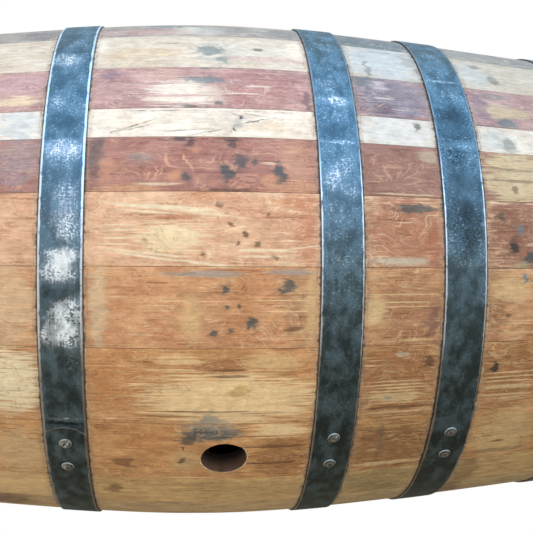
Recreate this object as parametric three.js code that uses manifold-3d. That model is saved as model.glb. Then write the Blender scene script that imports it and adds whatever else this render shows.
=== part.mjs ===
// Oak wine barrel standing on one end, as a three.js scene graph.
// Millimetres, +Z up. The origin is on the floor plane, on the barrel's axis.
// The bung hole looks along -Y from the middle of the barrel's length.
// Azimuths are in degrees, counter-clockwise from +X when seen from above.

import * as THREE from 'three';
import { mergeVertices } from 'three/addons/utils/BufferGeometryUtils.js';
import Module from 'manifold-3d';

const wasm = await Module();
wasm.setup();

// ---------------------------------------------------------------- driving dimensions

const LENGTH = 952; // over both chimes
const BILGE_RADIUS = 343; // outside of the wood at the middle
const END_TAPER = 0.1236; // slope that the staves straighten out to
const BEND_LENGTH = 191; // distance over which the slope turns at the bilge
const STAVE_THICKNESS = 27;
const JOINT_GAP = 0.3; // clearance kept between touching pieces

const FIRST_STAVE_AZIMUTH = -99.7; // the bung stave starts here
// Angle that each stave takes up, counter-clockwise from the bung stave. Staves are sawn
// to many widths, so the angles differ; together they make the full turn.
const STAVE_ANGLES = [
  16.5, 11.8, 13.1, 14.6, 12.2, 15.0, 13.4, 11.6, 14.1,
  13.7, 12.5, 15.2, 13.0, 11.9, 14.4, 13.6, 12.8, 14.9,
  12.3, 13.5, 14.8, 12.0, 6.8, 11.2, 13.9, 15.2, 16.0,
];

const BUNG_HOLE_RADIUS = 27; // at the outer surface
const BUNG_HOLE_TAPER = 0.07; // loss of radius per millimetre of depth
const BUNG_RIM_CHAMFER = 1.5;

const CHIME_FLAT = 14; // width of the flat ring that the barrel stands on
const CHIME_BEVEL_DEPTH = 16;
const CROZE_FROM_END = 42; // middle of the groove that holds a head
const CROZE_WIDTH = 7.6;
const CROZE_DEPTH = 5;

const HEAD_THICKNESS = 24;
const HEAD_RIM_THICKNESS = 7;
const HEAD_BEVEL_WIDTH = 28;
const HEAD_COLLAR_MARGIN = 1.5; // how far the thin rim reaches in past the groove
const HEAD_BOARDS = [101, 92, 88, 96, 90, 104]; // nominal widths across the head
const TONGUE_THICKNESS = 6;
const TONGUE_LENGTH = 6;

const STRAP_THICKNESS = 1.8;
const LAP_TIP_BOW = 10; // how far the strap's rounded tip stands out

const RIVET_SHANK_RADIUS = 3;
const RIVET_HEAD_RADIUS = 7.6;
const RIVET_HEAD_HEIGHT = 3.4;
const RIVET_SINK_RADIUS = 4.2; // flush countersunk end on the wood side
const RIVET_SINK_LAND = 0.3;
const RIVET_SINK_DEPTH = 1.4;
const RIVET_WOOD_CLEARANCE = 0.1; // on top of the strap's own joint gap

// Heights are from the middle of the barrel. tip is the end of the strap that shows,
// tail the place where the end under it stops.
const HOOPS = [
  { name: 'bottom_head', height: -452, width: 42, rivets: [-95.4, -88.4], tip: -85.2, tail: -98.8 },
  { name: 'bottom_quarter', height: -323, width: 49, rivets: [-94.8, -87.9], tip: -98.3, tail: -84.1 },
  { name: 'bottom_bilge', height: -180.3, width: 48, rivets: [-94.5, -87.7], tip: -98.6, tail: -83.8 },
  { name: 'top_bilge', height: 126, width: 48, rivets: [-95.8, -88.2], tip: -85.7, tail: -99.3 },
  { name: 'top_quarter', height: 269, width: 49, rivets: [-94.9, -88.0], tip: -84.8, tail: -98.9 },
  { name: 'top_head', height: 452, width: 42, rivets: [-95.1, -88.1], tip: -84.9, tail: -98.5 },
];

// ---------------------------------------------------------------- resolution of the solids

const TURN_SEGMENTS = 48;
const LONGEST_OUTER_SPAN = 100;
const INNER_SPANS = 5;
const RIVET_SEGMENTS = 8;
const RIVET_DOME_STEPS = [25, 60]; // degrees up the button head
const BUNG_SEGMENTS = 28;
const TIP_SEGMENTS = 4;

// ---------------------------------------------------------------- materials

const oak = (color) => new THREE.MeshStandardMaterial({ color, roughness: 0.55, metalness: 0 });
const OAK_COLOURS = [0xb98a5c, 0xc9a27a, 0xa8683f, 0xd8bf9e, 0xb5654a, 0xc98f5a, 0x9c5a40];
const HEAD_COLOURS = [0xc9a67c, 0xb88f62, 0xd2b48c];
const hoopSteel = () => new THREE.MeshStandardMaterial({ color: 0x50545a, roughness: 0.45, metalness: 0.9 });
const rivetSteel = () => new THREE.MeshStandardMaterial({ color: 0x6a6d70, roughness: 0.4, metalness: 0.95 });

// ---------------------------------------------------------------- solids and meshes

function toSolid(geometry) {
  const bare = geometry.clone();
  bare.deleteAttribute('normal');
  bare.deleteAttribute('uv');
  const merged = mergeVertices(bare, 1e-3);
  const index = merged.index.array;
  const triangles = [];
  for (let i = 0; i < index.length; i += 3) {
    const [a, b, c] = [index[i], index[i + 1], index[i + 2]];
    if (a !== b && b !== c && c !== a) triangles.push(a, b, c);
  }
  const mesh = new wasm.Mesh({
    numProp: 3,
    vertProperties: new Float32Array(merged.attributes.position.array),
    triVerts: new Uint32Array(triangles),
  });
  return new wasm.Manifold(mesh);
}

function toGeometry(solid) {
  const mesh = solid.getMesh();
  const geometry = new THREE.BufferGeometry();
  geometry.setAttribute('position', new THREE.BufferAttribute(new Float32Array(mesh.vertProperties), 3));
  geometry.setIndex(new THREE.BufferAttribute(new Uint32Array(mesh.triVerts), 1));
  geometry.computeVertexNormals();
  return geometry;
}

function namedMesh(name, geometry, material) {
  const mesh = new THREE.Mesh(geometry, material);
  mesh.name = name;
  return mesh;
}

// Turns a closed outline of [radius, height] points about the Z axis.
function turned(outline, segments) {
  const points = outline.map(([radius, height]) => new THREE.Vector2(radius, height));
  return new THREE.LatheGeometry(points, segments).rotateX(Math.PI / 2);
}

function closed(outline) {
  return [...outline, outline[0]];
}

// ---------------------------------------------------------------- the barrel's curve

const HALF = LENGTH / 2;

// Outside radius of the wood at a height from the middle: nearly straight towards the
// ends, with the bend spread over the bilge.
function woodRadius(height) {
  return BILGE_RADIUS - END_TAPER * (Math.hypot(height, BEND_LENGTH) - BEND_LENGTH);
}

// Heights where the outer surface has a ring of points: each hoop's two edges, so that
// the wood is straight under a hoop, and enough between them to follow the curve.
function outerHeights() {
  const edges = HOOPS.flatMap(({ height, width }) => [height - width / 2, height + width / 2]);
  const stops = [-HALF, ...edges, HALF];
  const heights = [];
  for (let i = 0; i + 1 < stops.length; i += 1) {
    const span = stops[i + 1] - stops[i];
    const steps = Math.ceil(span / LONGEST_OUTER_SPAN);
    for (let k = 0; k < steps; k += 1) heights.push(stops[i] + (span * k) / steps);
  }
  heights.push(HALF);
  return heights;
}

const innerRadius = (height) => woodRadius(height) - STAVE_THICKNESS;

// The inside of one end, from the chime's flat to just past the croze. side is 1 or -1.
function endInside(side) {
  const bevelEnd = HALF - CHIME_BEVEL_DEPTH;
  const grooveOuter = HALF - CROZE_FROM_END + CROZE_WIDTH / 2;
  const grooveInner = HALF - CROZE_FROM_END - CROZE_WIDTH / 2;
  const floor = innerRadius(HALF - CROZE_FROM_END) + CROZE_DEPTH;
  return [
    [woodRadius(HALF) - CHIME_FLAT, side * HALF],
    [innerRadius(bevelEnd), side * bevelEnd],
    [innerRadius(grooveOuter), side * grooveOuter],
    [floor, side * grooveOuter],
    [floor, side * grooveInner],
    [innerRadius(grooveInner), side * grooveInner],
  ];
}

function shellOutline() {
  const outside = outerHeights().map((height) => [woodRadius(height), height]);
  const reach = HALF - CROZE_FROM_END - CROZE_WIDTH / 2;
  const inside = [];
  for (let k = 1; k < INNER_SPANS; k += 1) {
    const height = reach - (2 * reach * k) / INNER_SPANS;
    inside.push([innerRadius(height), height]);
  }
  return closed([...outside, ...endInside(1), ...inside, ...endInside(-1).reverse()]);
}

// ---------------------------------------------------------------- staves

// A tall wedge between two azimuths whose sides stand half a joint gap inside them.
function wedge(fromAzimuth, toAzimuth) {
  const near = BILGE_RADIUS * 0.5; // well inside and outside the wood
  const far = BILGE_RADIUS * 1.2;
  const side = (azimuth, radius, inward) => {
    const angle = THREE.MathUtils.degToRad(azimuth);
    const shift = (inward * JOINT_GAP) / 2;
    const x = radius * Math.cos(angle) - shift * Math.sin(angle);
    const y = radius * Math.sin(angle) + shift * Math.cos(angle);
    return new THREE.Vector2(x, y);
  };
  const outline = [
    side(fromAzimuth, near, 1),
    side(fromAzimuth, far, 1),
    side(toAzimuth, far, -1),
    side(toAzimuth, near, -1),
  ];
  const depth = LENGTH * 1.1;
  const geometry = new THREE.ExtrudeGeometry(new THREE.Shape(outline), { depth, bevelEnabled: false });
  return toSolid(geometry.translate(0, 0, -depth / 2));
}

// The tapered bung hole with its chamfered rim, as the solid that is cut away.
function bungCutter() {
  const overshoot = STAVE_THICKNESS / 3; // past both faces of the stave
  const depth = STAVE_THICKNESS + overshoot;
  const outer = BUNG_HOLE_RADIUS;
  const outline = [
    [0, -depth],
    [outer - depth * BUNG_HOLE_TAPER, -depth],
    [outer, -BUNG_RIM_CHAMFER],
    [outer + BUNG_RIM_CHAMFER, 0],
    [outer + BUNG_RIM_CHAMFER, overshoot],
    [0, overshoot],
  ];
  const geometry = turned(outline, BUNG_SEGMENTS);
  geometry.rotateX(Math.PI / 2).translate(0, -BILGE_RADIUS, 0);
  return toSolid(geometry);
}

function addStaves(barrel) {
  const shell = toSolid(turned(shellOutline(), TURN_SEGMENTS));
  let azimuth = FIRST_STAVE_AZIMUTH;
  STAVE_ANGLES.forEach((angle, i) => {
    let stave = shell.intersect(wedge(azimuth, azimuth + angle));
    const isBungStave = i === 0;
    if (isBungStave) stave = stave.subtract(bungCutter());
    const name = isBungStave ? 'bung_stave' : `stave_${String(i + 1).padStart(2, '0')}`;
    barrel.add(namedMesh(name, toGeometry(stave), oak(OAK_COLOURS[i % OAK_COLOURS.length])));
    azimuth += angle;
  });
}

// ---------------------------------------------------------------- heads

// A whole head, outer face up, with the middle of its rim at height 0.
function headDisc() {
  const rim = innerRadius(HALF - CROZE_FROM_END) + CROZE_DEPTH - JOINT_GAP;
  const collar = rim - CROZE_DEPTH - HEAD_COLLAR_MARGIN;
  const flat = rim - HEAD_BEVEL_WIDTH;
  const halfRim = HEAD_RIM_THICKNESS / 2;
  const half = HEAD_THICKNESS / 2;
  const outline = [
    [0, -half],
    [flat, -half],
    [collar, -halfRim],
    [rim, -halfRim],
    [rim, halfRim],
    [collar, halfRim],
    [flat, half],
    [0, half],
  ];
  return toSolid(turned(outline, TURN_SEGMENTS));
}

// Section of one board across the head: groove on its left edge, tongue on its right.
function boardSection(left, right, hasGroove, hasTongue) {
  const half = HEAD_THICKNESS; // taller than the head on both faces
  const tongue = TONGUE_THICKNESS / 2;
  const groove = tongue + JOINT_GAP;
  const points = [[left, half]];
  if (hasGroove) {
    const bottom = left + TONGUE_LENGTH + JOINT_GAP;
    points.push([left, groove], [bottom, groove], [bottom, -groove], [left, -groove]);
  }
  points.push([left, -half], [right, -half]);
  if (hasTongue) {
    const end = right + TONGUE_LENGTH;
    points.push([right, -tongue], [end, -tongue], [end, tongue], [right, tongue]);
  }
  points.push([right, half]);
  return new THREE.Shape(points.map(([x, y]) => new THREE.Vector2(x, y)));
}

function headBoards(prefix) {
  const disc = headDisc();
  const head = new THREE.Group();
  const total = HEAD_BOARDS.reduce((sum, width) => sum + width, 0);
  const last = HEAD_BOARDS.length - 1;
  const depth = 2 * BILGE_RADIUS;
  let edge = -total / 2;
  HEAD_BOARDS.forEach((width, i) => {
    const left = edge + JOINT_GAP / 2;
    const right = edge + width - JOINT_GAP / 2;
    const section = boardSection(left, right, i > 0, i < last);
    const bar = new THREE.ExtrudeGeometry(section, { depth, bevelEnabled: false });
    bar.translate(0, 0, -depth / 2).rotateX(Math.PI / 2);
    const board = disc.intersect(toSolid(bar));
    const colour = HEAD_COLOURS[i % HEAD_COLOURS.length];
    head.add(namedMesh(`${prefix}_head_board_${i + 1}`, toGeometry(board), oak(colour)));
    edge += width;
  });
  return head;
}

function addHeads(barrel) {
  const top = headBoards('top');
  top.position.z = HALF - CROZE_FROM_END;
  barrel.add(top);
  const bottom = headBoards('bottom');
  bottom.position.z = -(HALF - CROZE_FROM_END);
  bottom.rotation.y = Math.PI;
  barrel.add(bottom);
}

// ---------------------------------------------------------------- hoops and rivets

// Four-sided section of a strap layer lying outside a hoop's inner cone.
function strapOutline(hoop, from, to) {
  const low = hoop.height - hoop.width / 2;
  const high = hoop.height + hoop.width / 2;
  const face = (height, offset) => [woodRadius(height) + JOINT_GAP + offset, height - hoop.height];
  return closed([face(low, from), face(low, to), face(high, to), face(high, from)]);
}

// Placement on a hoop's inner face: X along the strap, Z straight out of it.
function onHoop(hoop, azimuth) {
  const angle = THREE.MathUtils.degToRad(azimuth);
  const low = woodRadius(hoop.height - hoop.width / 2);
  const high = woodRadius(hoop.height + hoop.width / 2);
  const tilt = Math.atan2(low - high, hoop.width);
  const radius = (low + high) / 2 + JOINT_GAP;
  const out = new THREE.Vector3(
    Math.cos(tilt) * Math.cos(angle),
    Math.cos(tilt) * Math.sin(angle),
    Math.sin(tilt),
  );
  const along = new THREE.Vector3(-Math.sin(angle), Math.cos(angle), 0);
  const across = new THREE.Vector3().crossVectors(out, along);
  const place = new THREE.Matrix4().makeBasis(along, across, out);
  return place.setPosition(radius * Math.cos(angle), radius * Math.sin(angle), 0);
}

// A strip with one rounded tip that stands through the strap's outer layer and gives
// the lapped end its outline. It is laid out about the middle of the lap.
function lapForm(hoop) {
  const middle = (hoop.tip + hoop.tail) / 2;
  const arcLength = THREE.MathUtils.degToRad(Math.abs(hoop.tip - hoop.tail)) * woodRadius(hoop.height);
  const halfLength = arcLength / 2;
  const halfWidth = hoop.width / 2 + STRAP_THICKNESS; // clears the strap's edges
  const tipRadius = (halfWidth ** 2 + LAP_TIP_BOW ** 2) / (2 * LAP_TIP_BOW);
  const sweep = Math.asin(halfWidth / tipRadius);
  const shape = new THREE.Shape();
  shape.moveTo(-halfLength, halfWidth);
  shape.lineTo(-halfLength, -halfWidth);
  shape.lineTo(halfLength - LAP_TIP_BOW, -halfWidth);
  shape.absarc(halfLength - tipRadius, 0, tipRadius, -sweep, sweep, false);
  shape.closePath();
  const depth = STAVE_THICKNESS; // far more than the strap bends away over the lap
  const form = new THREE.ExtrudeGeometry(shape, { depth, bevelEnabled: false, curveSegments: TIP_SEGMENTS });
  form.translate(0, 0, -depth / 2);
  if (hoop.tip < hoop.tail) form.rotateZ(Math.PI);
  return toSolid(form.applyMatrix4(onHoop(hoop, middle)));
}

// Rivet outline from the centre of its sunk inner end to the top of its button head.
// room widens it into the shape of the hole.
function rivetOutline(room) {
  const shank = RIVET_SHANK_RADIUS + room;
  const sink = RIVET_SINK_RADIUS + room;
  const seat = 2 * STRAP_THICKNESS + JOINT_GAP;
  const dome = RIVET_DOME_STEPS.map((degrees) => {
    const angle = THREE.MathUtils.degToRad(degrees);
    return [RIVET_HEAD_RADIUS * Math.cos(angle), seat + RIVET_HEAD_HEIGHT * Math.sin(angle)];
  });
  const start = room > 0 ? -STRAP_THICKNESS : RIVET_WOOD_CLEARANCE;
  return [
    [0, start],
    [sink, start],
    [sink, RIVET_SINK_LAND],
    [shank, RIVET_SINK_DEPTH],
    [shank, seat],
    [RIVET_HEAD_RADIUS, seat],
    ...dome,
    [0, seat + RIVET_HEAD_HEIGHT],
  ];
}

function strap(hoop) {
  const base = toSolid(turned(strapOutline(hoop, 0, STRAP_THICKNESS), TURN_SEGMENTS));
  const overlap = STRAP_THICKNESS / 2;
  const layer = toSolid(turned(strapOutline(hoop, overlap, 2 * STRAP_THICKNESS), TURN_SEGMENTS));
  let solid = base.add(layer.intersect(lapForm(hoop)));
  const drill = turned(rivetOutline(JOINT_GAP), RIVET_SEGMENTS);
  hoop.rivets.forEach((azimuth) => {
    solid = solid.subtract(toSolid(drill.clone().applyMatrix4(onHoop(hoop, azimuth))));
  });
  return solid;
}

function addHoops(barrel) {
  const rivetShape = toGeometry(toSolid(turned(rivetOutline(0), RIVET_SEGMENTS)));
  HOOPS.forEach((hoop) => {
    const band = new THREE.Group();
    band.position.z = hoop.height;
    band.add(namedMesh(`${hoop.name}_hoop`, toGeometry(strap(hoop)), hoopSteel()));
    hoop.rivets.forEach((azimuth, i) => {
      const rivet = namedMesh(`${hoop.name}_rivet_${i + 1}`, rivetShape, rivetSteel());
      rivet.applyMatrix4(onHoop(hoop, azimuth));
      band.add(rivet);
    });
    barrel.add(band);
  });
}

// ---------------------------------------------------------------- assembly

const barrel = new THREE.Group();
barrel.position.z = HALF;
addStaves(barrel);
addHeads(barrel);
addHoops(barrel);

const object = new THREE.Group();
object.add(barrel);

export default object;
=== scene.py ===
"""Oak wine barrel standing on one end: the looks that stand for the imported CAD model.

Metres, +Z up, the origin on the floor under the barrel's axis. Three measures place a spot
on the barrel's side: its height from the middle of the barrel in millimetres, its turn in
degrees from the side that faces the camera (larger towards the stave at the top of the
picture), and its azimuth, counter-clockwise from +X seen from above.
"""

import math
import random

import bpy
from mathutils import Matrix, Vector, noise


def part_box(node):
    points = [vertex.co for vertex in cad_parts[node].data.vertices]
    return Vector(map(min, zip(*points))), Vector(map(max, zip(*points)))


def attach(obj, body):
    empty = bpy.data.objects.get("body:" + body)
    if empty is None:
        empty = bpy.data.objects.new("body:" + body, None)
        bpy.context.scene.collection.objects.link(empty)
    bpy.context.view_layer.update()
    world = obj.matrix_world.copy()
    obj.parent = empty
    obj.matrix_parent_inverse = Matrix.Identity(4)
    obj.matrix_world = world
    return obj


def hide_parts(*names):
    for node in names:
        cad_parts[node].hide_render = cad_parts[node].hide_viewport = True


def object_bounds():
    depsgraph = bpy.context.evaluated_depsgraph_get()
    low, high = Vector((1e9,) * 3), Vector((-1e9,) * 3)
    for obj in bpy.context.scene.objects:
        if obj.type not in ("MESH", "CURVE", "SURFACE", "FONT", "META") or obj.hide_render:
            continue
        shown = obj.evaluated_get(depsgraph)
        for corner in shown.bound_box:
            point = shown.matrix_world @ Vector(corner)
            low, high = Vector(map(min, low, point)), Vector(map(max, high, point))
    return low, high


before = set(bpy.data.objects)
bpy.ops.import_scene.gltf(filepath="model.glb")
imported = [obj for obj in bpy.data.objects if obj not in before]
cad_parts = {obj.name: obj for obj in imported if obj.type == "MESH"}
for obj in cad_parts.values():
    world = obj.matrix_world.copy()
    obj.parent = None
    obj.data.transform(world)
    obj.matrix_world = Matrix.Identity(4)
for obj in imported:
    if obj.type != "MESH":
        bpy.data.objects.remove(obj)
cad_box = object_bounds()

# ---------------------------------------------------------------- driving dimensions

MM = 0.001
HALF = (cad_box[1].z - cad_box[0].z) / 2
MIDDLE = (cad_box[1].z + cad_box[0].z) / 2
BILGE_RADIUS = 343 * MM  # outside of the wood at the middle
END_TAPER = 0.1236  # slope that the staves straighten out to
BEND_LENGTH = 191 * MM  # distance over which the slope turns at the bilge
STAVE_THICKNESS = 27 * MM
FINE_GAP = 0.2 * MM  # the wood stands this far inside the hoops' inner faces

CHIME_FLAT = 14 * MM
CHIME_BEVEL_DEPTH = 16 * MM
CHIME_ROUND = 2 * MM
CROZE_FROM_END = 42 * MM
CROZE_WIDTH = 7.6 * MM
CROZE_DEPTH = 5 * MM

HEAD_THICKNESS = 24 * MM
HEAD_RIM_THICKNESS = 7 * MM
HEAD_BEVEL_WIDTH = 28 * MM
HEAD_COLLAR_MARGIN = 1.5 * MM
TONGUE = 6 * MM

BUNG_RADIUS = 27 * MM
BUNG_TAPER = 0.07

STRAP_THICKNESS = 1.8 * MM
JOINT_GAP = 0.3 * MM
LAP_TIP_BOW = 10 * MM
RIVET_HEAD_RADIUS = 7.6 * MM
RIVET_SHANK_RADIUS = 3 * MM

FRONT_AZIMUTH = -130.48  # the camera looks at this side
SKIN_RADIUS = 335.0  # millimetres along the surface per radian of turn
SHARP_ANGLE = 38  # degrees; shading breaks at edges sharper than this

PLACES = ("head", "quarter", "bilge")
HOOP_NAMES = [f"{end}_{place}_hoop" for end in ("bottom", "top") for place in PLACES]
# Azimuths of each strap's outer end, and of the end that lies under it.
LAPS = {
    "bottom_head_hoop": (-85.2, -98.8),
    "bottom_quarter_hoop": (-98.3, -84.1),
    "bottom_bilge_hoop": (-98.6, -83.8),
    "top_bilge_hoop": (-85.7, -99.3),
    "top_quarter_hoop": (-84.8, -98.9),
    "top_head_hoop": (-84.9, -98.5),
}


def wood_radius(height):
    """Outside radius of the wood at a height from the barrel's middle."""
    return BILGE_RADIUS - END_TAPER * (math.hypot(height, BEND_LENGTH) - BEND_LENGTH)


def spread(start, end, count):
    """Evenly spaced numbers from start to end, both included."""
    return [start + (end - start) * i / (count - 1) for i in range(count)]


def smooth(x):
    """Eased step from 0 to 1 as x goes from 0 to 1."""
    x = min(1, max(0, x))
    return x * x * (3 - 2 * x)


def on_side(azimuth, radius, height):
    """Point at an azimuth in degrees, a radius, and a height from the barrel's middle."""
    angle = math.radians(azimuth)
    return Vector((radius * math.cos(angle), radius * math.sin(angle), MIDDLE + height))


def way_round(turn):
    """Millimetres along the barrel's side for a turn in degrees."""
    return math.radians(turn) * SKIN_RADIUS


def azimuth_of(point):
    return math.degrees(math.atan2(point.y, point.x))


def node_points(name):
    return [v.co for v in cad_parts[name].data.vertices]


# ---------------------------------------------------------------- colours

def srgb(red, green, blue):
    """Linear colour of an sRGB one given in 0 to 255."""
    def linear(value):
        value /= 255
        return value / 12.92 if value <= 0.04045 else ((value + 0.055) / 1.055) ** 2.4
    return (linear(red), linear(green), linear(blue), 1)


IVORY = srgb(246, 238, 224)
CREAM = srgb(240, 222, 188)
STRAW = srgb(222, 190, 136)
PEACH = srgb(232, 186, 148)
CLAY = srgb(205, 140, 104)
SALMON = srgb(224, 170, 140)
HONEY = srgb(232, 198, 146)
RUST = srgb(178, 104, 74)
RED = srgb(170, 98, 86)
ROSE = srgb(206, 158, 152)
MAUVE = srgb(150, 124, 138)
PLUM = srgb(112, 76, 78)
AMBER = srgb(190, 126, 72)
OCHRE = srgb(184, 146, 74)
OLIVE = srgb(138, 120, 78)
UMBER = srgb(104, 70, 42)
GREY = srgb(150, 146, 140)
STEEL = srgb(112, 130, 134)
SLATE = srgb(64, 78, 78)
MOSS = srgb(92, 90, 66)
SOOT = srgb(44, 40, 36)


# ---------------------------------------------------------------- node building

class Nodes:
    """Adds nodes to a node tree. What a method gives back is an output to use as a value."""

    def __init__(self, tree):
        self.tree = tree

    def put(self, socket, value):
        if isinstance(value, bpy.types.NodeSocket):
            self.tree.links.new(value, socket)
        else:
            socket.default_value = value

    def add(self, kind, inputs, **settings):
        node = self.tree.nodes.new("ShaderNode" + kind)
        for key, value in settings.items():
            setattr(node, key, value)
        for key, value in inputs.items():
            self.put(node.inputs[key], value)
        return node

    def math(self, operation, *values):
        return self.add("Math", dict(enumerate(values)), operation=operation).outputs[0]

    def times(self, first, second):
        return self.math("MULTIPLY", first, second)

    def times_plus(self, first, second, third):
        return self.math("MULTIPLY_ADD", first, second, third)

    def total(self, *parts):
        """Sum of values, each given with the amount that it is multiplied by."""
        result = self.times(*parts[0])
        for value, amount in parts[1:]:
            result = self.times_plus(value, amount, result)
        return result

    def vector(self, operation, *values):
        node = self.add("VectorMath", dict(enumerate(values)), operation=operation)
        is_number = operation in ("LENGTH", "DOT_PRODUCT", "DISTANCE")
        return node.outputs["Value" if is_number else "Vector"]

    def combine(self, x, y, z):
        return self.add("CombineXYZ", {0: x, 1: y, 2: z}).outputs[0]

    def separate(self, vector):
        return self.add("SeparateXYZ", {0: vector}).outputs

    def object_position(self):
        return self.add("TexCoord", {}).outputs["Object"]

    def object_millimetres(self):
        return self.vector("MULTIPLY", self.object_position(), (1 / MM, 1 / MM, 1 / MM))

    def noise(self, vector, size, detail=3.0, roughness=0.5):
        """Noise from 0 to 1 with features of the given size along each coordinate."""
        inputs = {
            "Vector": self.vector("DIVIDE", vector, size),
            "Scale": 1.0,
            "Detail": detail,
            "Roughness": roughness,
        }
        return self.add("TexNoise", inputs).outputs["Fac"]

    def wobble(self, vector, size, amounts, detail=2.0):
        """Moves a position about by noise, by up to half the amounts each way."""
        scaled = self.vector("DIVIDE", vector, size)
        node = self.add("TexNoise", {"Vector": scaled, "Scale": 1.0, "Detail": detail})
        centred = self.vector("SUBTRACT", node.outputs["Color"], (0.5, 0.5, 0.5))
        return self.vector("MULTIPLY_ADD", centred, tuple(2 * a for a in amounts), vector)

    def step(self, value, low, high, to_low=0.0, to_high=1.0):
        """Eased change from to_low to to_high as value goes from low to high."""
        inputs = {"Value": value, "From Min": low, "From Max": high, "To Min": to_low, "To Max": to_high}
        return self.add("MapRange", inputs, interpolation_type="SMOOTHSTEP").outputs[0]

    def mix(self, share, first, second, blend="MIX"):
        node = self.add("Mix", {0: share, 6: first, 7: second}, data_type="RGBA", blend_type=blend)
        return node.outputs[2]

    def layer(self, colour, tint, mask, strength, blend="MIX"):
        """The colour with a tint over it, as strongly as the mask times the strength says."""
        return self.mix(self.times(mask, strength), colour, tint, blend)

    def shaded(self, colour, shade):
        return self.mix(1.0, colour, self.combine(shade, shade, shade), "MULTIPLY")

    def ramp(self, share, stops):
        """Colour that runs through stops, each (share, (red, green, blue))."""
        node = self.add("ValToRGB", {0: share})
        elements = node.color_ramp.elements
        for i, (place, colour) in enumerate(stops):
            stop = elements[i] if i < 2 else elements.new(place)
            stop.position = place
            stop.color = (*colour, 1)
        return node.outputs[0]

    def patch(self, place, centre, size, tilt=0.0, raggedness=None, softness=0.35):
        """Mask of an oval patch: 1 inside, 0 outside, with a soft edge broken up by raggedness."""
        inputs = {
            "Vector": place,
            "Location": (centre[0], centre[1], 0),
            "Rotation": (0, 0, math.radians(tilt)),
            "Scale": (size[0], size[1], 1e6),
        }
        local = self.add("Mapping", inputs, vector_type="TEXTURE").outputs[0]
        distance = self.vector("LENGTH", local)
        if raggedness is not None:
            distance = self.math("ADD", distance, raggedness)
        return self.step(distance, 1 - softness, 1 + softness, 1.0, 0.0)


class Shader(Nodes):
    """One material's nodes around its Principled surface."""

    def __init__(self, name):
        self.material = bpy.data.materials.new(name)
        self.material.use_nodes = True
        super().__init__(self.material.node_tree)
        self.surface = self.tree.nodes["Principled BSDF"]

    def finish(self, colour, roughness, height=None, metallic=0.0):
        """Colour, roughness, and a relief height in millimetres."""
        self.put(self.surface.inputs["Base Color"], colour)
        self.put(self.surface.inputs["Roughness"], roughness)
        self.put(self.surface.inputs["Metallic"], metallic)
        if height is not None:
            inputs = {"Height": height, "Distance": MM, "Strength": 1.0}
            self.put(self.surface.inputs["Normal"], self.add("Bump", inputs).outputs[0])
        return self.material


# ---------------------------------------------------------------- wood

HOOP_BANDS = {name: (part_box(name)[0].z - MIDDLE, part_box(name)[1].z - MIDDLE) for name in HOOP_NAMES}


def skin_place(shader, azimuth):
    """Position on the barrel's side near an azimuth: height, way round and radius, in millimetres."""
    angle = math.radians(azimuth)
    position = shader.object_position()
    out = shader.vector("DOT_PRODUCT", position, (math.cos(angle), math.sin(angle), 0))
    across = shader.vector("DOT_PRODUCT", position, (math.sin(angle), -math.cos(angle), 0))
    height = shader.separate(position)[2]
    height = shader.times_plus(height, 1 / MM, -MIDDLE / MM)
    way = shader.times(shader.math("ARCTAN2", across, out), SKIN_RADIUS)
    radius = shader.vector("LENGTH", shader.combine(out, across, 0.0))
    return shader.combine(height, way, shader.times(radius, 1 / MM))


def hoop_distance(shader, height):
    """Distance in millimetres along the barrel from the nearest hoop's edge."""
    nearest = None
    for low, high in HOOP_BANDS.values():
        away = shader.math("ABSOLUTE", shader.math("SUBTRACT", height, (low + high) / 2 / MM))
        away = shader.math("SUBTRACT", away, (high - low) / 2 / MM)
        nearest = away if nearest is None else shader.math("MINIMUM", nearest, away)
    return nearest


def sanding_strokes(shader, place, cell, spacing, amount):
    """Mask of short curved strokes, as an orbital sander leaves them."""
    flat = shader.vector("MULTIPLY", shader.vector("DIVIDE", place, (cell, cell, cell)), (1, 1, 0))
    cells = shader.add("TexVoronoi", {"Vector": flat, "Scale": 1.0}, voronoi_dimensions="2D")
    distance = shader.times(cells.outputs["Distance"], cell / spacing * 2 * math.pi)
    away = shader.vector("SUBTRACT", flat, cells.outputs["Position"])
    east, north, _ = shader.separate(away)
    heading = shader.math("ARCTAN2", north, east)
    chance = shader.separate(cells.outputs["Color"])
    facing = shader.times_plus(chance[0], 2 * math.pi, heading)
    arc = shader.step(shader.math("COSINE", facing), 0.2, 0.85)
    uneven = shader.noise(place, (16, 11, 16), 3.0, 0.6)
    distance = shader.times_plus(uneven, 26.0, distance)
    ring = shader.step(shader.math("SINE", distance), 0.2, 0.95)
    broken = shader.step(shader.noise(place, (8, 5, 9), 2.0), 0.44, 0.6)
    present = shader.step(chance[1], 1 - amount, 1.02 - amount + 0.15)
    strokes = shader.times(shader.times(ring, arc), broken)
    return shader.times(strokes, present)


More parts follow.
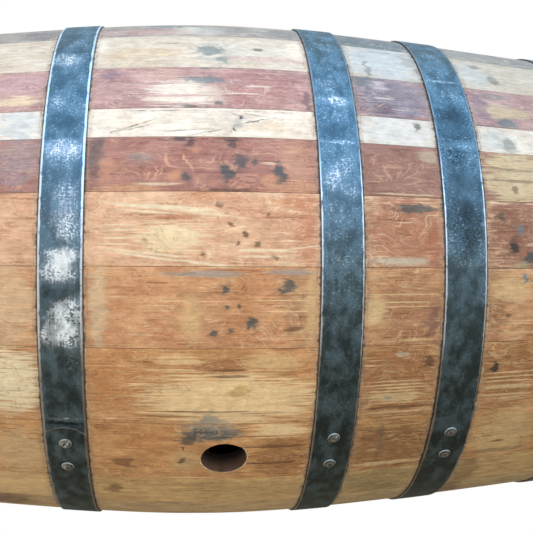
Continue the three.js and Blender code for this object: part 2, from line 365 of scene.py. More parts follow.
def stave_material(name, azimuth, seed, base, second, streak, marks):
    """Sanded oak of one stave. base and second are its two tones, streak the colour of its
    planed streaks, and marks are patches: (height, turn, half height, half turn, colour,
    strength, tilt)."""
    shader = Shader(name)
    place = skin_place(shader, azimuth)
    height = shader.separate(place)[0]
    own = shader.vector("ADD", place, (37.1 * seed, 91.7 * seed, 13.3 * seed))

    fine = shader.noise(own, (60, 1.5, 3), 2.0, 0.6)
    grain = shader.noise(own, (120, 4.5, 7), 4.0, 0.6)
    cloud = shader.noise(own, (42, 19, 20), 4.0, 0.6)
    mottle = shader.noise(own, (13, 7, 9), 4.0, 0.65)
    fingers = shader.noise(own, (42, 1.9, 4), 3.0, 0.6)
    long_edge = shader.times_plus(fingers, 2.6, -1.3)
    long_edge = shader.math("ADD", long_edge, shader.times_plus(mottle, 0.8, -0.4))
    stain_edge = shader.times_plus(mottle, 2.4, -1.2)

    tone = shader.step(shader.times_plus(grain, 0.5, cloud), 0.55, 0.92)
    colour = shader.mix(tone, base, second)

    placed = shader.wobble(place, (30, 9, 12), (9, 2.2, 0))
    placed = shader.wobble(placed, (7, 3, 5), (3, 1.0, 0))
    straight = shader.wobble(place, (70, 12, 20), (4, 0.9, 0))
    centre_turn = FRONT_AZIMUTH - azimuth
    stains = []
    scratches = []
    patches = []
    for mark in marks:
        z, turn, half_z, half_turn, tint, strength = mark[:6]
        tilt = mark[6] if len(mark) > 6 else 0
        centre = (z, way_round((turn - centre_turn + 180) % 360 - 180))
        size = (half_z, way_round(half_turn))
        placing = (centre, size, tilt, tint, strength)
        is_iron = tint in (SLATE, SOOT, STEEL) and half_z < 26
        if half_turn < 0.7 and half_z > 3 * size[1]:
            scratches.append(placing)
        elif is_iron or (half_z < 2.2 * size[1] and half_z < 12):
            stains.append(placing)
        elif half_turn < 6:
            patches.append(placing)
        else:
            mask = shader.patch(placed, centre, size, tilt, long_edge, 0.3)
            colour = shader.layer(colour, tint, mask, strength)

    # Pale lines where the plane took the surface off, and dark ones where it did not.
    lines = shader.noise(own, (95, 2.4, 5), 2.0, 0.6)
    where = shader.step(shader.noise(own, (60, 20, 20), 2.0), 0.46, 0.64)
    planed = shader.times(shader.step(lines, 0.56, 0.68), where)
    colour = shader.layer(colour, streak, planed, 0.7)
    contrast = 0.4 if base[2] > 0.5 else 1.0  # pale staves are the smoother ones
    unplaned = shader.step(cloud, 0.35, 0.6, 0.12 * contrast, 0.55 * contrast)
    unplaned = shader.times(shader.step(lines, 0.42, 0.33), unplaned)
    colour = shader.mix(unplaned, colour, srgb(172, 132, 104), "MULTIPLY")

    rings = sanding_strokes(shader, own, 30, 3.6, 0.95)
    colour = shader.layer(colour, streak, rings, 0.28)
    for centre, size, tilt, tint, strength in patches:
        mask = shader.patch(placed, centre, size, tilt, long_edge, 0.3)
        colour = shader.layer(colour, tint, mask, strength)

    # Fibres raised and rubbed by an orbital sander, in slowly turning directions.
    turned = shader.wobble(own, (62, 40, 50), (44, 34, 0), 1.0)
    swirl = shader.noise(turned, (12, 1.5, 6), 2.0, 0.6)
    turned = shader.wobble(shader.vector("ADD", own, (211, 97, 0)), (34, 26, 40), (30, 30, 0), 1.0)
    curl = shader.noise(turned, (8, 1.3, 6), 2.0, 0.6)
    sanded = shader.step(shader.noise(own, (46, 26, 30), 2.0), 0.38, 0.56)
    light = shader.times(shader.step(swirl, 0.54, 0.66), sanded)
    colour = shader.layer(colour, streak, light, 0.5)
    light_curl = shader.times(shader.step(curl, 0.56, 0.68), shader.step(mottle, 0.42, 0.6))
    colour = shader.layer(colour, streak, light_curl, 0.3)
    dark = shader.times(shader.step(curl, 0.45, 0.33), shader.step(cloud, 0.38, 0.62, 0.15, 0.75))
    colour = shader.layer(colour, srgb(172, 124, 96), dark, 0.6 * contrast, "MULTIPLY")

    # Long thin streaks and scratches.
    thin_edge = shader.times_plus(shader.noise(own, (24, 4, 5), 3.0, 0.6), 1.6, -0.8)
    broken = shader.step(shader.noise(own, (17, 6, 16), 3.0, 0.65), 0.36, 0.62)
    for centre, size, tilt, tint, strength in scratches:
        mask = shader.patch(placed if abs(tilt) > 10 else straight, centre, size, tilt, thin_edge, 0.35)
        if tint in (OLIVE, SLATE, SOOT):
            mask = shader.times(mask, broken)
        colour = shader.layer(colour, tint, mask, strength)

    # Iron stains soaked in around old nails and tools.
    for centre, size, tilt, tint, strength in stains:
        halo = shader.patch(placed, centre, (size[0] * 1.4, size[1] * 1.4), tilt, stain_edge, 0.5)
        colour = shader.layer(colour, tint, halo, 0.3 * strength)
        core = shader.patch(placed, centre, size, tilt, stain_edge, 0.3)
        colour = shader.layer(colour, tint, core, 0.85 * strength)

    # Open pores and small dark specks.
    pores = shader.step(shader.noise(own, (10, 0.9, 3), 1.0), 0.66, 0.76)
    specks = shader.noise(shader.vector("ADD", own, (5, 7, 9)), (5, 3.0, 5), 3.0, 0.7)
    specks = shader.step(specks, 0.66, 0.76)
    colour = shader.layer(colour, srgb(96, 66, 44), pores, 0.4)
    colour = shader.layer(colour, srgb(72, 60, 50), specks, 0.55)

    # Wood beside a hoop: a dark line against the steel, part crust and part painted shadow of the hoop's
    # edge, then bruised and bleached.
    edge = hoop_distance(shader, height)
    near = shader.times_plus(cloud, -14.0, shader.math("ADD", edge, 7.0))
    near = shader.step(near, 9.0, 2.0)
    colour = shader.layer(colour, srgb(176, 160, 140), near, 0.22)
    driven = shader.noise(own, (1.1, 22, 6), 2.0, 0.6)
    scored = shader.times(shader.step(driven, 0.54, 0.64), near)
    colour = shader.layer(colour, srgb(120, 96, 76), scored, 0.55)
    torn = shader.times(shader.step(driven, 0.42, 0.34), near)
    colour = shader.layer(colour, streak, torn, 0.45)
    bruised = shader.times(shader.step(mottle, 0.48, 0.62), shader.step(edge, 9.0, 1.5))
    colour = shader.layer(colour, srgb(112, 92, 74), bruised, 0.55)
    # Painted shadow of the hoop's edge over a dark crust, in a line along the steel.
    crust_and_hoop_shadow = shader.math("ADD", edge, shader.times_plus(mottle, -5.0, 2.5))
    colour = shader.mix(shader.step(crust_and_hoop_shadow, 2.4, 1.0, 0.0, 0.8), colour, srgb(52, 44, 38))

    # Painted shade: the barrel's upper third is darker and a little cooler, where the light falls off
    # towards the top head.
    upper_end_shade = shader.step(height, 118.0, 152.0)
    colour = shader.mix(upper_end_shade, colour, srgb(231, 235, 236), "MULTIPLY")

    shade = shader.step(fine, 0.25, 0.75, 0.90, 1.05)
    shade = shader.times(shade, shader.step(mottle, 0.3, 0.7, 0.87, 1.09))
    relief = shader.total(
        (fine, 0.10), (grain, 0.30), (mottle, 0.45), (swirl, 0.16),
        (dark, -0.10), (pores, -0.15), (planed, -0.08),
    )
    roughness = shader.step(shader.math("ADD", cloud, fine), 0.7, 1.3, 0.42, 0.64)
    return shader.finish(shader.shaded(colour, shade), roughness, relief)


def end_grain_material():
    """Sawn ends of the staves and the plain oak inside the chimes."""
    shader = Shader("oak_end_grain")
    place = skin_place(shader, 90)
    rays = shader.noise(place, (40, 1.1, 16), 2.0, 0.6)
    blotch = shader.noise(place, (20, 30, 14), 3.0)
    colour = shader.mix(shader.step(blotch, 0.35, 0.65), srgb(178, 140, 98), srgb(140, 104, 70))
    colour = shader.mix(shader.step(rays, 0.42, 0.60, 0.0, 0.45), colour, srgb(98, 70, 46))
    grime = shader.step(shader.noise(place, (9, 12, 6), 3.0, 0.7), 0.55, 0.72, 0.0, 0.5)
    colour = shader.mix(grime, colour, srgb(70, 56, 44))
    relief = shader.times(rays, 0.25)
    return shader.finish(colour, shader.step(blotch, 0.3, 0.7, 0.6, 0.8), relief)


def toasted_material():
    """Fire-toasted and wine-stained inner faces."""
    shader = Shader("oak_toasted")
    place = skin_place(shader, 90)
    grain = shader.noise(place, (110, 3, 9), 3.0, 0.6)
    char = shader.noise(place, (50, 26, 30), 3.0)
    colour = shader.mix(shader.step(char, 0.35, 0.65), srgb(92, 56, 40), srgb(58, 34, 30))
    colour = shader.mix(shader.step(grain, 0.5, 0.7, 0.0, 0.5), colour, srgb(36, 24, 22))
    roughness = shader.step(grain, 0.3, 0.7, 0.62, 0.82)
    return shader.finish(colour, roughness, shader.times(grain, 0.4))


def head_material(name, seed, base, second):
    """Planed oak of a head board, its grain along the board."""
    shader = Shader(name)
    position = shader.object_millimetres()
    own = shader.vector("ADD", position, (61.7 * seed, 17.9 * seed, 0))
    bent = shader.wobble(own, (60, 160, 60), (6, 0, 0))
    rings = shader.noise(bent, (6.5, 210, 18), 3.0, 0.6)
    fine = shader.noise(own, (1.3, 70, 4), 2.0, 0.6)
    cloud = shader.noise(own, (40, 90, 40), 3.0)
    colour = shader.mix(shader.step(rings, 0.38, 0.64), base, second)
    late = shader.step(shader.noise(bent, (3.1, 260, 12), 2.0), 0.56, 0.66, 0.0, 0.45)
    colour = shader.mix(late, colour, srgb(150, 108, 70))
    pores = shader.step(shader.noise(own, (0.8, 12, 3), 1.0), 0.64, 0.74, 0.0, 0.5)
    colour = shader.mix(pores, colour, srgb(92, 64, 42))
    stain = shader.step(shader.noise(own, (55, 70, 40), 4.0, 0.65), 0.56, 0.72, 0.0, 0.5)
    colour = shader.mix(stain, colour, srgb(112, 82, 66))
    radius = shader.vector("LENGTH", shader.vector("MULTIPLY", position, (1, 1, 0)))
    rim = shader.step(radius, 255.0, 282.0, 0.0, 0.5)
    colour = shader.mix(rim, colour, srgb(96, 74, 54))
    colour = shader.shaded(colour, shader.step(cloud, 0.25, 0.75, 0.85, 1.08))
    relief = shader.total((fine, 0.12), (rings, 0.25), (pores, -0.15))
    return shader.finish(colour, shader.step(cloud, 0.3, 0.7, 0.45, 0.62), relief)


def fan(z, turn, reach, start, end, count, tint, strength=0.6):
    """Uneven short strokes that fan out from a spot, as marks, between two tilts in degrees."""
    chance = random.Random(round(10 * z + turn))
    strokes = []
    for tilt in spread(start, end, count):
        tilt += chance.uniform(-9, 9)
        away = reach * chance.uniform(0.75, 1.2)
        along = math.cos(math.radians(tilt)) * away
        up = math.degrees(math.sin(math.radians(tilt)) * away / SKIN_RADIUS)
        length = reach * chance.uniform(0.3, 0.5)
        width = chance.uniform(0.14, 0.3)
        strength_here = strength * chance.uniform(0.6, 1.1)
        strokes.append((z + along, turn + up, length, width, tint, strength_here, tilt))
    return strokes


# Each stave that the camera sees: its two tones, its streak colour, and its marks as
# (height, turn, half height, half turn, colour, strength, tilt).
SEEN_STAVES = {
    "stave_20": (srgb(178, 174, 166), srgb(160, 152, 148), IVORY, [
        (-232, 65, 26, 5, srgb(132, 124, 128), 0.7), (-30, 64, 30, 4, srgb(206, 212, 208), 0.6),
        (80, 64, 18, 5, srgb(136, 138, 138), 0.7), (190, 65, 60, 7, srgb(120, 128, 132), 0.75),
        (166, 64, 16, 5, srgb(112, 126, 130), 0.7), (228, 64, 16, 5, srgb(124, 136, 140), 0.6),
        (-100, 63, 60, 3, ROSE, 0.5), (-68, 70, 34, 2.5, STEEL, 0.8),
        (-40, 65, 14, 3, IVORY, 0.4), (60, 64, 50, 4, GREY, 0.5),
        (200, 62, 60, 5, srgb(118, 130, 134), 0.6),
    ]),
    "stave_21": (srgb(230, 221, 207), srgb(212, 199, 180), IVORY, [
        (-150, 54, 8, 3.5, IVORY, 0.9), (89, 53, 12, 4, IVORY, 0.8),
        (-95, 50, 48, 2.6, STRAW, 0.35), (-62, 54.5, 20, 0.35, SLATE, 0.7),
        (-16, 51, 15, 2.0, STEEL, 0.75), (-2, 47, 8, 1.0, STEEL, 0.65),
        (42, 52, 5, 0.7, MOSS, 0.8), (55, 48, 48, 0.8, ROSE, 0.5),
        (175, 47.5, 3.5, 3.2, GREY, 0.7), (205, 57, 26, 0.5, SLATE, 0.6),
        (232, 53, 9, 2.6, OLIVE, 0.3), (200, 52, 55, 8, srgb(214, 226, 236), 0.75),
        (0, 51, 34, 6, srgb(206, 212, 208), 0.4), (70, 50, 30, 6, srgb(222, 220, 214), 0.4),
        (326, 55, 6, 1.0, GREY, 0.8), (340, 49, 7, 1.8, MOSS, 0.5),
        (318, 51, 22, 5, srgb(208, 218, 222), 0.6),
    ]),
    "stave_22": (srgb(202, 164, 158), srgb(180, 142, 140), srgb(236, 218, 208), [
        (-236, 40, 26, 3, srgb(212, 176, 184), 0.6), (-240, 35, 26, 1.3, CREAM, 0.8),
        (-134, 42, 10, 1.2, MAUVE, 0.7), (-94, 41, 12, 1.8, srgb(226, 190, 180), 0.6),
        (-46, 36.3, 44, 3.4, IVORY, 0.95, -1.5), (-60, 35.5, 40, 0.35, ROSE, 0.7),
        (-66, 42, 22, 1.8, srgb(216, 180, 166), 0.5), (-20, 40, 22, 1.0, STEEL, 0.75),
        (-16, 44.3, 12, 0.7, STEEL, 0.6), (-10, 33.5, 4, 0.5, SLATE, 0.7),
        (35, 38, 50, 5, RED, 0.35), (38, 38.5, 20, 0.22, IVORY, 0.6),
        (24, 36.4, 24, 0.2, IVORY, 0.6), (94, 35, 5, 2.2, PLUM, 0.7),
        (-42, 32.8, 8, 0.5, SOOT, 0.6), (198, 38, 50, 7, srgb(152, 146, 162), 0.85),
        (165, 42.5, 16, 1.6, STEEL, 0.7), (184, 42.7, 10, 0.4, srgb(226, 208, 212), 0.8),
        (181, 41.8, 12, 0.45, srgb(226, 208, 212), 0.8),
        (186, 40.9, 11, 0.4, srgb(226, 208, 212), 0.7), (184, 37.6, 12, 0.25, IVORY, 0.7),
        (187, 34.9, 16, 1.4, PLUM, 0.6), (308, 38, 9, 5, MAUVE, 0.7),
        (330, 42, 16, 1.1, GREY, 0.7), (335, 37, 40, 2.0, srgb(226, 208, 168), 0.7),
        (338, 33.8, 13, 1.3, STEEL, 0.75),
    ]),
    "stave_23": (srgb(249, 242, 230), srgb(238, 226, 212), IVORY, [
        (-234, 29, 28, 4, srgb(214, 222, 226), 0.85),
        (200, 29, 50, 4, srgb(236, 240, 244), 0.6),
        (-2, 29, 30, 2.5, srgb(216, 206, 192), 0.55), (-148, 29, 9, 3.5, IVORY, 0.9),
        (-96, 28.6, 30, 0.16, OLIVE, 0.85, 22), (-104, 27.4, 22, 0.12, SLATE, 0.7, 14),
        (-52, 26.9, 30, 0.14, OLIVE, 0.7, 4), (-20, 26.6, 24, 0.12, SLATE, 0.7, 12),
        (24, 28.9, 26, 0.16, SLATE, 0.8, 18), (14, 30.4, 14, 0.13, SLATE, 0.8, -28),
        (8, 28.4, 14, 0.12, SLATE, 0.7, 62), (38, 30.6, 22, 0.12, SLATE, 0.6, -8),
        (-70, 31.7, 40, 0.14, SOOT, 0.7), (40, 31.7, 40, 0.14, SOOT, 0.6),
        (12, 29.0, 6, 1.8, srgb(190, 184, 176), 0.7), (15, 30, 1.6, 0.4, SOOT, 0.9),
        (8, 27.3, 1.6, 0.3, SOOT, 0.9), (45, 28, 24, 1.3, srgb(226, 208, 180), 0.6),
        (222, 30.5, 4, 0.8, MOSS, 0.8), (336, 27.5, 8, 1.4, GREY, 0.7),
        (320, 28.5, 20, 3, srgb(212, 222, 226), 0.6),
    ]),
    "stave_24": (srgb(182, 132, 118), srgb(162, 110, 98), srgb(222, 178, 150), [
        (-232, 21, 26, 6, srgb(166, 150, 156), 0.75),
        (-106, 14.6, 34, 1.1, srgb(214, 166, 130), 0.75),
        (70, 15.2, 34, 1.5, srgb(206, 156, 122), 0.6), (-145, 21, 10, 4, SLATE, 0.6),
        (-133, 18.6, 9, 2.6, srgb(206, 150, 122), 0.7), (-55, 25.0, 22, 0.6, SOOT, 0.75),
        (3, 25.0, 14, 0.5, SOOT, 0.75), (-40, 24.3, 4, 0.9, SOOT, 0.6),
        (5, 24, 4, 0.8, SOOT, 0.6), (-97, 21, 13, 0.9, GREY, 0.55),
        (-47, 17.3, 5, 1.0, SLATE, 0.9), (-1, 18, 6.5, 1.3, SLATE, 0.9, 10),
        (13, 20.3, 9, 1.3, SLATE, 0.8, 25), (57, 18.3, 6, 1.6, SLATE, 0.95),
        (30, 20.3, 3, 0.6, SLATE, 0.7), (-68, 20.4, 8.5, 0.3, SALMON, 0.7, -60),
        (-63, 19.6, 6.5, 0.25, SALMON, 0.6, -52), (-48, 20.9, 8, 0.28, SALMON, 0.75, -55),
        (-42, 19.5, 7, 0.26, SALMON, 0.7, -58), (-80, 17.8, 9, 0.26, SALMON, 0.6, 78),
        (-89, 17.4, 6, 0.24, SALMON, 0.6, 82), (-74, 18.2, 7, 0.22, SALMON, 0.5, 70),
        (-58, 17.3, 7.5, 1.1, srgb(214, 152, 116), 0.7, 10),
        (-32, 22.6, 6, 0.7, srgb(206, 146, 120), 0.6, 10),
        (46, 16.8, 8, 1.0, srgb(212, 156, 122), 0.6, 8),
        *fan(-40, 13.8, 13, 15, 70, 3, SALMON, 0.5),
        *fan(2, 14.2, 14, 20, 75, 4, SALMON, 0.5),
        *fan(190, 16.2, 20, 25, 150, 7, SALMON, 0.6),
        *fan(214, 23, 16, -120, -20, 4, SALMON, 0.5),
        (-77, 15.7, 24, 0.3, CREAM, 0.6), (47, 20, 8, 0.25, CREAM, 0.6),
        (78, 20, 18, 5, PEACH, 0.3), (-5, 14.6, 25, 0.35, SOOT, 0.6),
        (197, 19, 50, 6, srgb(166, 122, 104), 0.6),
        (232, 23.3, 9, 1.3, srgb(206, 188, 160), 0.7), (203, 14.8, 40, 0.18, CREAM, 0.6),
        (335, 20, 45, 6, srgb(230, 214, 172), 0.85), (335, 19, 36, 0.35, UMBER, 0.5),
        (330, 21.5, 36, 0.35, UMBER, 0.4), (332, 17, 4, 1.0, UMBER, 0.6),
    ]),
    "stave_25": (srgb(232, 190, 154), srgb(216, 166, 132), srgb(246, 222, 186), [
        (66, 8, 36, 8, srgb(204, 156, 124), 0.5), (-20, 13.4, 30, 0.9, CLAY, 0.5),
        (75, 12.6, 26, 1.2, CLAY, 0.5), (-66, 11.2, 54, 0.42, CREAM, 0.9, -4),
        (-84, 10.4, 34, 0.2, CREAM, 0.8, -4), (-20, 10.0, 30, 0.25, CREAM, 0.7, -5),
        (-55, 9.4, 22, 0.45, RUST, 0.65), (-62, 5.7, 36, 3.0, srgb(243, 222, 180), 0.85),
        (-90, 4.8, 9, 0.3, OLIVE, 0.4, -62), (-76, 3.0, 11, 0.3, OLIVE, 0.45, -22),
        (-56, 2.6, 10, 0.3, OLIVE, 0.4, 8), (-118, 8.0, 17, 0.14, CREAM, 0.8),
        (-118, 7.0, 17, 0.14, CREAM, 0.8), (-116, 5.6, 17, 0.14, CREAM, 0.8),
        (-118, 4.5, 17, 0.14, CREAM, 0.8), (-94, 2.9, 40, 0.24, CREAM, 0.9, -5),
        (-80, 2.0, 40, 0.2, CREAM, 0.85, -7), (-24, 1.0, 36, 0.26, CREAM, 0.85, -6),
        (-10, 11.6, 4, 0.5, UMBER, 0.8), (0, 8, 3, 0.5, UMBER, 0.8),
        (18, 6.3, 3, 0.5, UMBER, 0.9), (33, 4.6, 3, 0.4, UMBER, 0.8),
        (10, 4.8, 2, 0.4, UMBER, 0.8), (48, 2, 3, 0.4, UMBER, 0.7),
        (-28, 2.7, 2.5, 0.4, UMBER, 0.7), (42, 10, 3, 0.4, UMBER, 0.7),
        (0, 5, 30, 0.25, OLIVE, 0.4), (38, 3.4, 33, 0.3, CREAM, 0.8),
        (34, 2.3, 30, 0.2, CREAM, 0.7), (80, 4, 30, 0.2, CREAM, 0.5, 8),
        (86, 7, 13, 7.5, srgb(196, 132, 100), 0.7), (70, 13.4, 12, 1.3, CLAY, 0.5, 10),
        (197, 7, 50, 8, srgb(188, 124, 92), 0.9), (214, 12, 24, 0.75, SLATE, 0.85),
        (192, 1.6, 32, 0.9, srgb(214, 200, 178), 0.8), (233, 4, 9, 4, RUST, 0.5),
        (338, 7, 48, 8, srgb(156, 104, 80), 0.9), (315, 11, 4, 0.8, MOSS, 0.85),
        (337, 8.5, 4, 0.8, STEEL, 0.85), (326, 4.8, 7, 1.3, SOOT, 0.95),
        (346, 2.4, 7, 1.4, SLATE, 0.85), (338, 0.9, 10, 0.8, srgb(190, 176, 140), 0.6),
        *fan(312, 4, 12, 10, 90, 3, SALMON, 0.5),
    ]),
    "stave_26": (srgb(218, 166, 120), srgb(198, 140, 96), srgb(236, 204, 162), [
        (-235, -7, 30, 7, srgb(218, 192, 156), 0.6), (0, -8, 40, 6, srgb(180, 130, 90), 0.5),
        (82, -7, 20, 8, srgb(170, 136, 98), 0.55), (-140, -7, 8, 8, srgb(216, 196, 160), 0.6),
        (-25, -0.9, 40, 0.6, GREY, 0.7), (68, -0.5, 28, 0.5, GREY, 0.7),
        (-3, -4, 4.2, 0.7, SLATE, 0.9), (65, -3, 7, 1.2, SLATE, 0.9),
        (26, -10, 6, 1.0, SLATE, 0.9), (-15, -11.7, 4, 0.7, SLATE, 0.85),
        (5, -11.3, 3, 0.6, SLATE, 0.8), (10, -6.8, 2, 0.4, SLATE, 0.8),
        (-4, -7, 2, 0.4, SLATE, 0.8), (80, -5, 2, 0.4, SLATE, 0.7),
        (70, -11.1, 11, 0.5, UMBER, 0.7, 6), (-55, -5.8, 16, 0.14, HONEY, 0.85),
        (-78, -6.7, 18, 0.14, HONEY, 0.85), (60, -5.7, 35, 0.14, HONEY, 0.8),
        (62, -7.7, 32, 0.14, HONEY, 0.8), (-40, -9, 11, 4, STRAW, 0.55),
        (15, -8, 18, 5, AMBER, 0.35), (92, -7, 7, 7, STRAW, 0.5),
        (162, -7.7, 13, 2.6, HONEY, 0.85), (195, -4.7, 40, 0.14, HONEY, 0.8),
        (190, -6.2, 40, 0.14, HONEY, 0.8), (198, -7.1, 40, 0.14, HONEY, 0.7),
        (218, -13.7, 22, 0.18, HONEY, 0.8), (205, -8, 40, 7, srgb(172, 116, 80), 0.6),
        (232, -10, 8, 3, PLUM, 0.5), (340, -1.5, 3, 1.0, STEEL, 0.9),
        (325, -4, 25, 2.6, HONEY, 0.6), (320, -9.3, 6, 0.4, UMBER, 0.7),
        (305, -7, 12, 7, UMBER, 0.3), (335, -11, 24, 0.16, HONEY, 0.6),
        (335, -13, 24, 0.16, HONEY, 0.6),
    ]),
    "stave_27": (srgb(206, 154, 102), srgb(188, 134, 84), srgb(236, 206, 156), [
        (-120, -22, 32, 8, AMBER, 0.5), (-236, -22, 30, 7, srgb(238, 222, 184), 0.95),
        (4, -25, 92, 5.4, srgb(238, 208, 156), 0.92), (-30, -25.5, 44, 3.0, HONEY, 0.5),
        (46, -24, 34, 3.2, HONEY, 0.4), (-50, -17.4, 28, 0.5, HONEY, 0.75),
        (-56, -16.4, 24, 0.3, HONEY, 0.75), (-58, -19.0, 26, 0.2, HONEY, 0.7),
        (-4, -18.2, 26, 1.1, srgb(156, 100, 58), 0.75), (0, -19.0, 22, 0.2, UMBER, 0.8),
        (4, -20.2, 20, 0.25, UMBER, 0.7), (-62, -19.6, 40, 0.2, AMBER, 0.7),
        (-80, -21.4, 30, 0.22, AMBER, 0.6), (-62, -28.9, 30, 0.2, UMBER, 0.6),
        (50, -17.5, 30, 1.4, STRAW, 0.6), (15, -23.3, 10, 1.2, OCHRE, 0.55),
        (-22, -27.9, 60, 0.17, UMBER, 0.8), (40, -28.4, 36, 0.14, UMBER, 0.6),
        (-15, -30, 15, 1.4, STEEL, 0.6), (197, -22, 50, 8, srgb(170, 112, 66), 0.85),
        (199, -16.6, 8, 0.45, srgb(200, 184, 156), 0.75), (230, -18.5, 6, 1.0, UMBER, 0.8),
        (195, -22.4, 40, 0.16, HONEY, 0.7), (190, -23.2, 36, 0.18, HONEY, 0.7),
        (198, -23.9, 38, 0.2, HONEY, 0.75), (190, -24.6, 36, 0.18, HONEY, 0.7),
        (190, -25.9, 36, 1.0, srgb(222, 192, 140), 0.75), (198, -27.4, 40, 0.2, HONEY, 0.7),
        (187, -26.2, 7, 0.45, GREY, 0.6), (200, -28.5, 40, 0.4, UMBER, 0.6),
        (200, -29.6, 40, 0.22, HONEY, 0.7), (335, -22, 45, 8, srgb(166, 114, 68), 0.8),
        (313, -20.5, 4, 0.9, SOOT, 0.9), (330, -21.8, 30, 0.18, HONEY, 0.7),
        (334, -22.8, 30, 0.22, HONEY, 0.75), (328, -23.8, 30, 0.18, HONEY, 0.7),
        (332, -25.2, 32, 0.5, srgb(226, 196, 146), 0.7), (330, -27.2, 30, 0.2, HONEY, 0.7),
    ]),
    "bung_stave": (srgb(208, 156, 100), srgb(184, 130, 78), srgb(228, 188, 130), [
        (-115, -42, 11, 1.3, UMBER, 0.6), (-85, -36, 30, 3, AMBER, 0.4),
        (-236, -40, 30, 7, srgb(208, 180, 134), 0.65),
        (-16, -32.6, 32, 2.5, srgb(134, 134, 124), 0.8),
        (-22, -33.6, 28, 1.5, srgb(94, 94, 88), 0.8),
        (-38, -34.6, 8, 1.6, srgb(78, 76, 70), 0.7), (-6, -34.2, 18, 0.2, SOOT, 0.7),
        (-14, -33.0, 20, 0.18, SOOT, 0.6), (64, -32.6, 32, 1.6, srgb(230, 202, 152), 0.85),
        (58, -34.3, 36, 0.16, UMBER, 0.8, -1.5), (-48, -37.3, 2.5, 0.5, SOOT, 0.8),
        (-50, -41, 4, 0.8, UMBER, 0.8), (-44, -41, 16, 3.5, srgb(196, 176, 128), 0.45),
        (68, -40, 34, 6.5, srgb(148, 100, 56), 0.75), (58, -37, 34, 0.4, UMBER, 0.7),
        (58, -42, 34, 0.4, UMBER, 0.7), (60, -34.5, 34, 0.2, HONEY, 0.7),
        (-40, -46.7, 38, 0.25, HONEY, 0.7), (197, -39, 50, 8, srgb(150, 102, 58), 0.85),
        (185, -36.5, 3, 5, srgb(120, 100, 82), 0.5), (197, -45, 42, 0.6, HONEY, 0.6),
        (342, -39, 36, 8, srgb(208, 178, 124), 0.7), (337, -41, 9, 0.4, UMBER, 0.7),
        (335, -44.5, 36, 0.8, UMBER, 0.5),
    ]),
    "stave_02": (srgb(206, 168, 110), srgb(184, 146, 94), srgb(214, 182, 122), [
        (-255, -53, 60, 6, srgb(220, 184, 130), 0.6), (-130, -52, 8, 1.8, UMBER, 0.6),
        (40, -53, 70, 5, srgb(162, 134, 88), 0.5), (197, -53, 50, 6, srgb(144, 122, 80), 0.6),
        (310, -53, 16, 6, UMBER, 0.5),
    ]),
    "stave_03": (srgb(192, 160, 112), srgb(168, 136, 96), srgb(196, 168, 116), [
        (-265, -64, 30, 6, UMBER, 0.7), (305, -64, 14, 6, UMBER, 0.6),
    ]),
}

# Tones of the staves that the camera doesn't see, used in turn: base, second and streak.
OTHER_STAVES = [
    (srgb(214, 178, 138), srgb(190, 148, 108), CREAM),
    (srgb(190, 132, 98), srgb(168, 110, 82), PEACH),
    (srgb(232, 216, 186), srgb(214, 192, 156), IVORY),
    (srgb(196, 146, 96), srgb(170, 120, 76), STRAW),
    (srgb(180, 122, 106), srgb(158, 102, 90), srgb(222, 178, 150)),
    (srgb(222, 190, 146), srgb(198, 158, 116), CREAM),
]


def other_marks(chance, turn):
    """Stains, bleached patches and streaks for a stave that the camera doesn't see."""
    marks = []
    for _ in range(4):
        tint = chance.choice([CREAM, PEACH, CLAY, AMBER])
        marks.append((chance.uniform(-380, 380), turn + chance.uniform(-4, 4),
                      chance.uniform(30, 90), chance.uniform(1.5, 4), tint, chance.uniform(0.4, 0.7)))
    for _ in range(4):
        marks.append((chance.uniform(-400, 400), turn + chance.uniform(-5, 5),
                      chance.uniform(20, 60), 0.35, chance.choice([IVORY, CREAM, UMBER]), 0.7))
    for _ in range(5):
        marks.append((chance.uniform(-400, 400), turn + chance.uniform(-5, 5), chance.uniform(2, 8),
                      chance.uniform(0.4, 1.3), chance.choice([SLATE, SLATE, SOOT, UMBER, STEEL]), 0.85))
    return marks


# ---------------------------------------------------------------- meshes

def make_piece(name, vertices, faces, materials, indices=None, sharp=SHARP_ANGLE):
    """A mesh piece from vertices and faces, smooth but for edges sharper than an angle."""
    mesh = bpy.data.meshes.new(name)
    mesh.from_pydata([tuple(v) for v in vertices], [], faces)
    for material in materials:
        mesh.materials.append(material)
    if indices:
        mesh.polygons.foreach_set("material_index", indices)
    mesh.polygons.foreach_set("use_smooth", [True] * len(mesh.polygons))
    mesh.set_sharp_from_angle(angle=math.radians(sharp))
    mesh.update()
    piece = bpy.data.objects.new(name, mesh)
    bpy.context.scene.collection.objects.link(piece)
    return piece


def adopt(piece, node):
    """The piece stands for a CAD node, whose own solid is hidden, and rides with the barrel."""
    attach(piece, "root")
    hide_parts(node)


def band_faces(rows, size, is_turned=False):
    """Quads between neighbouring rows of points, where each row runs once round."""
    faces = []
    for row in range(rows - 1):
        low, high = row * size, (row + 1) * size
        for i in range(size):
            j = (i + 1) % size
            quad = (low + i, low + j, high + j, high + i)
            faces.append(quad[::-1] if is_turned else quad)
    return faces


STAVE_ACROSS = 14  # points across each face of a stave
STAVE_LEVEL_STEP = 9 * MM
STAVE_EDGE_ROUND = 0.5 * MM
STAVE_RELIEF = 0.35 * MM


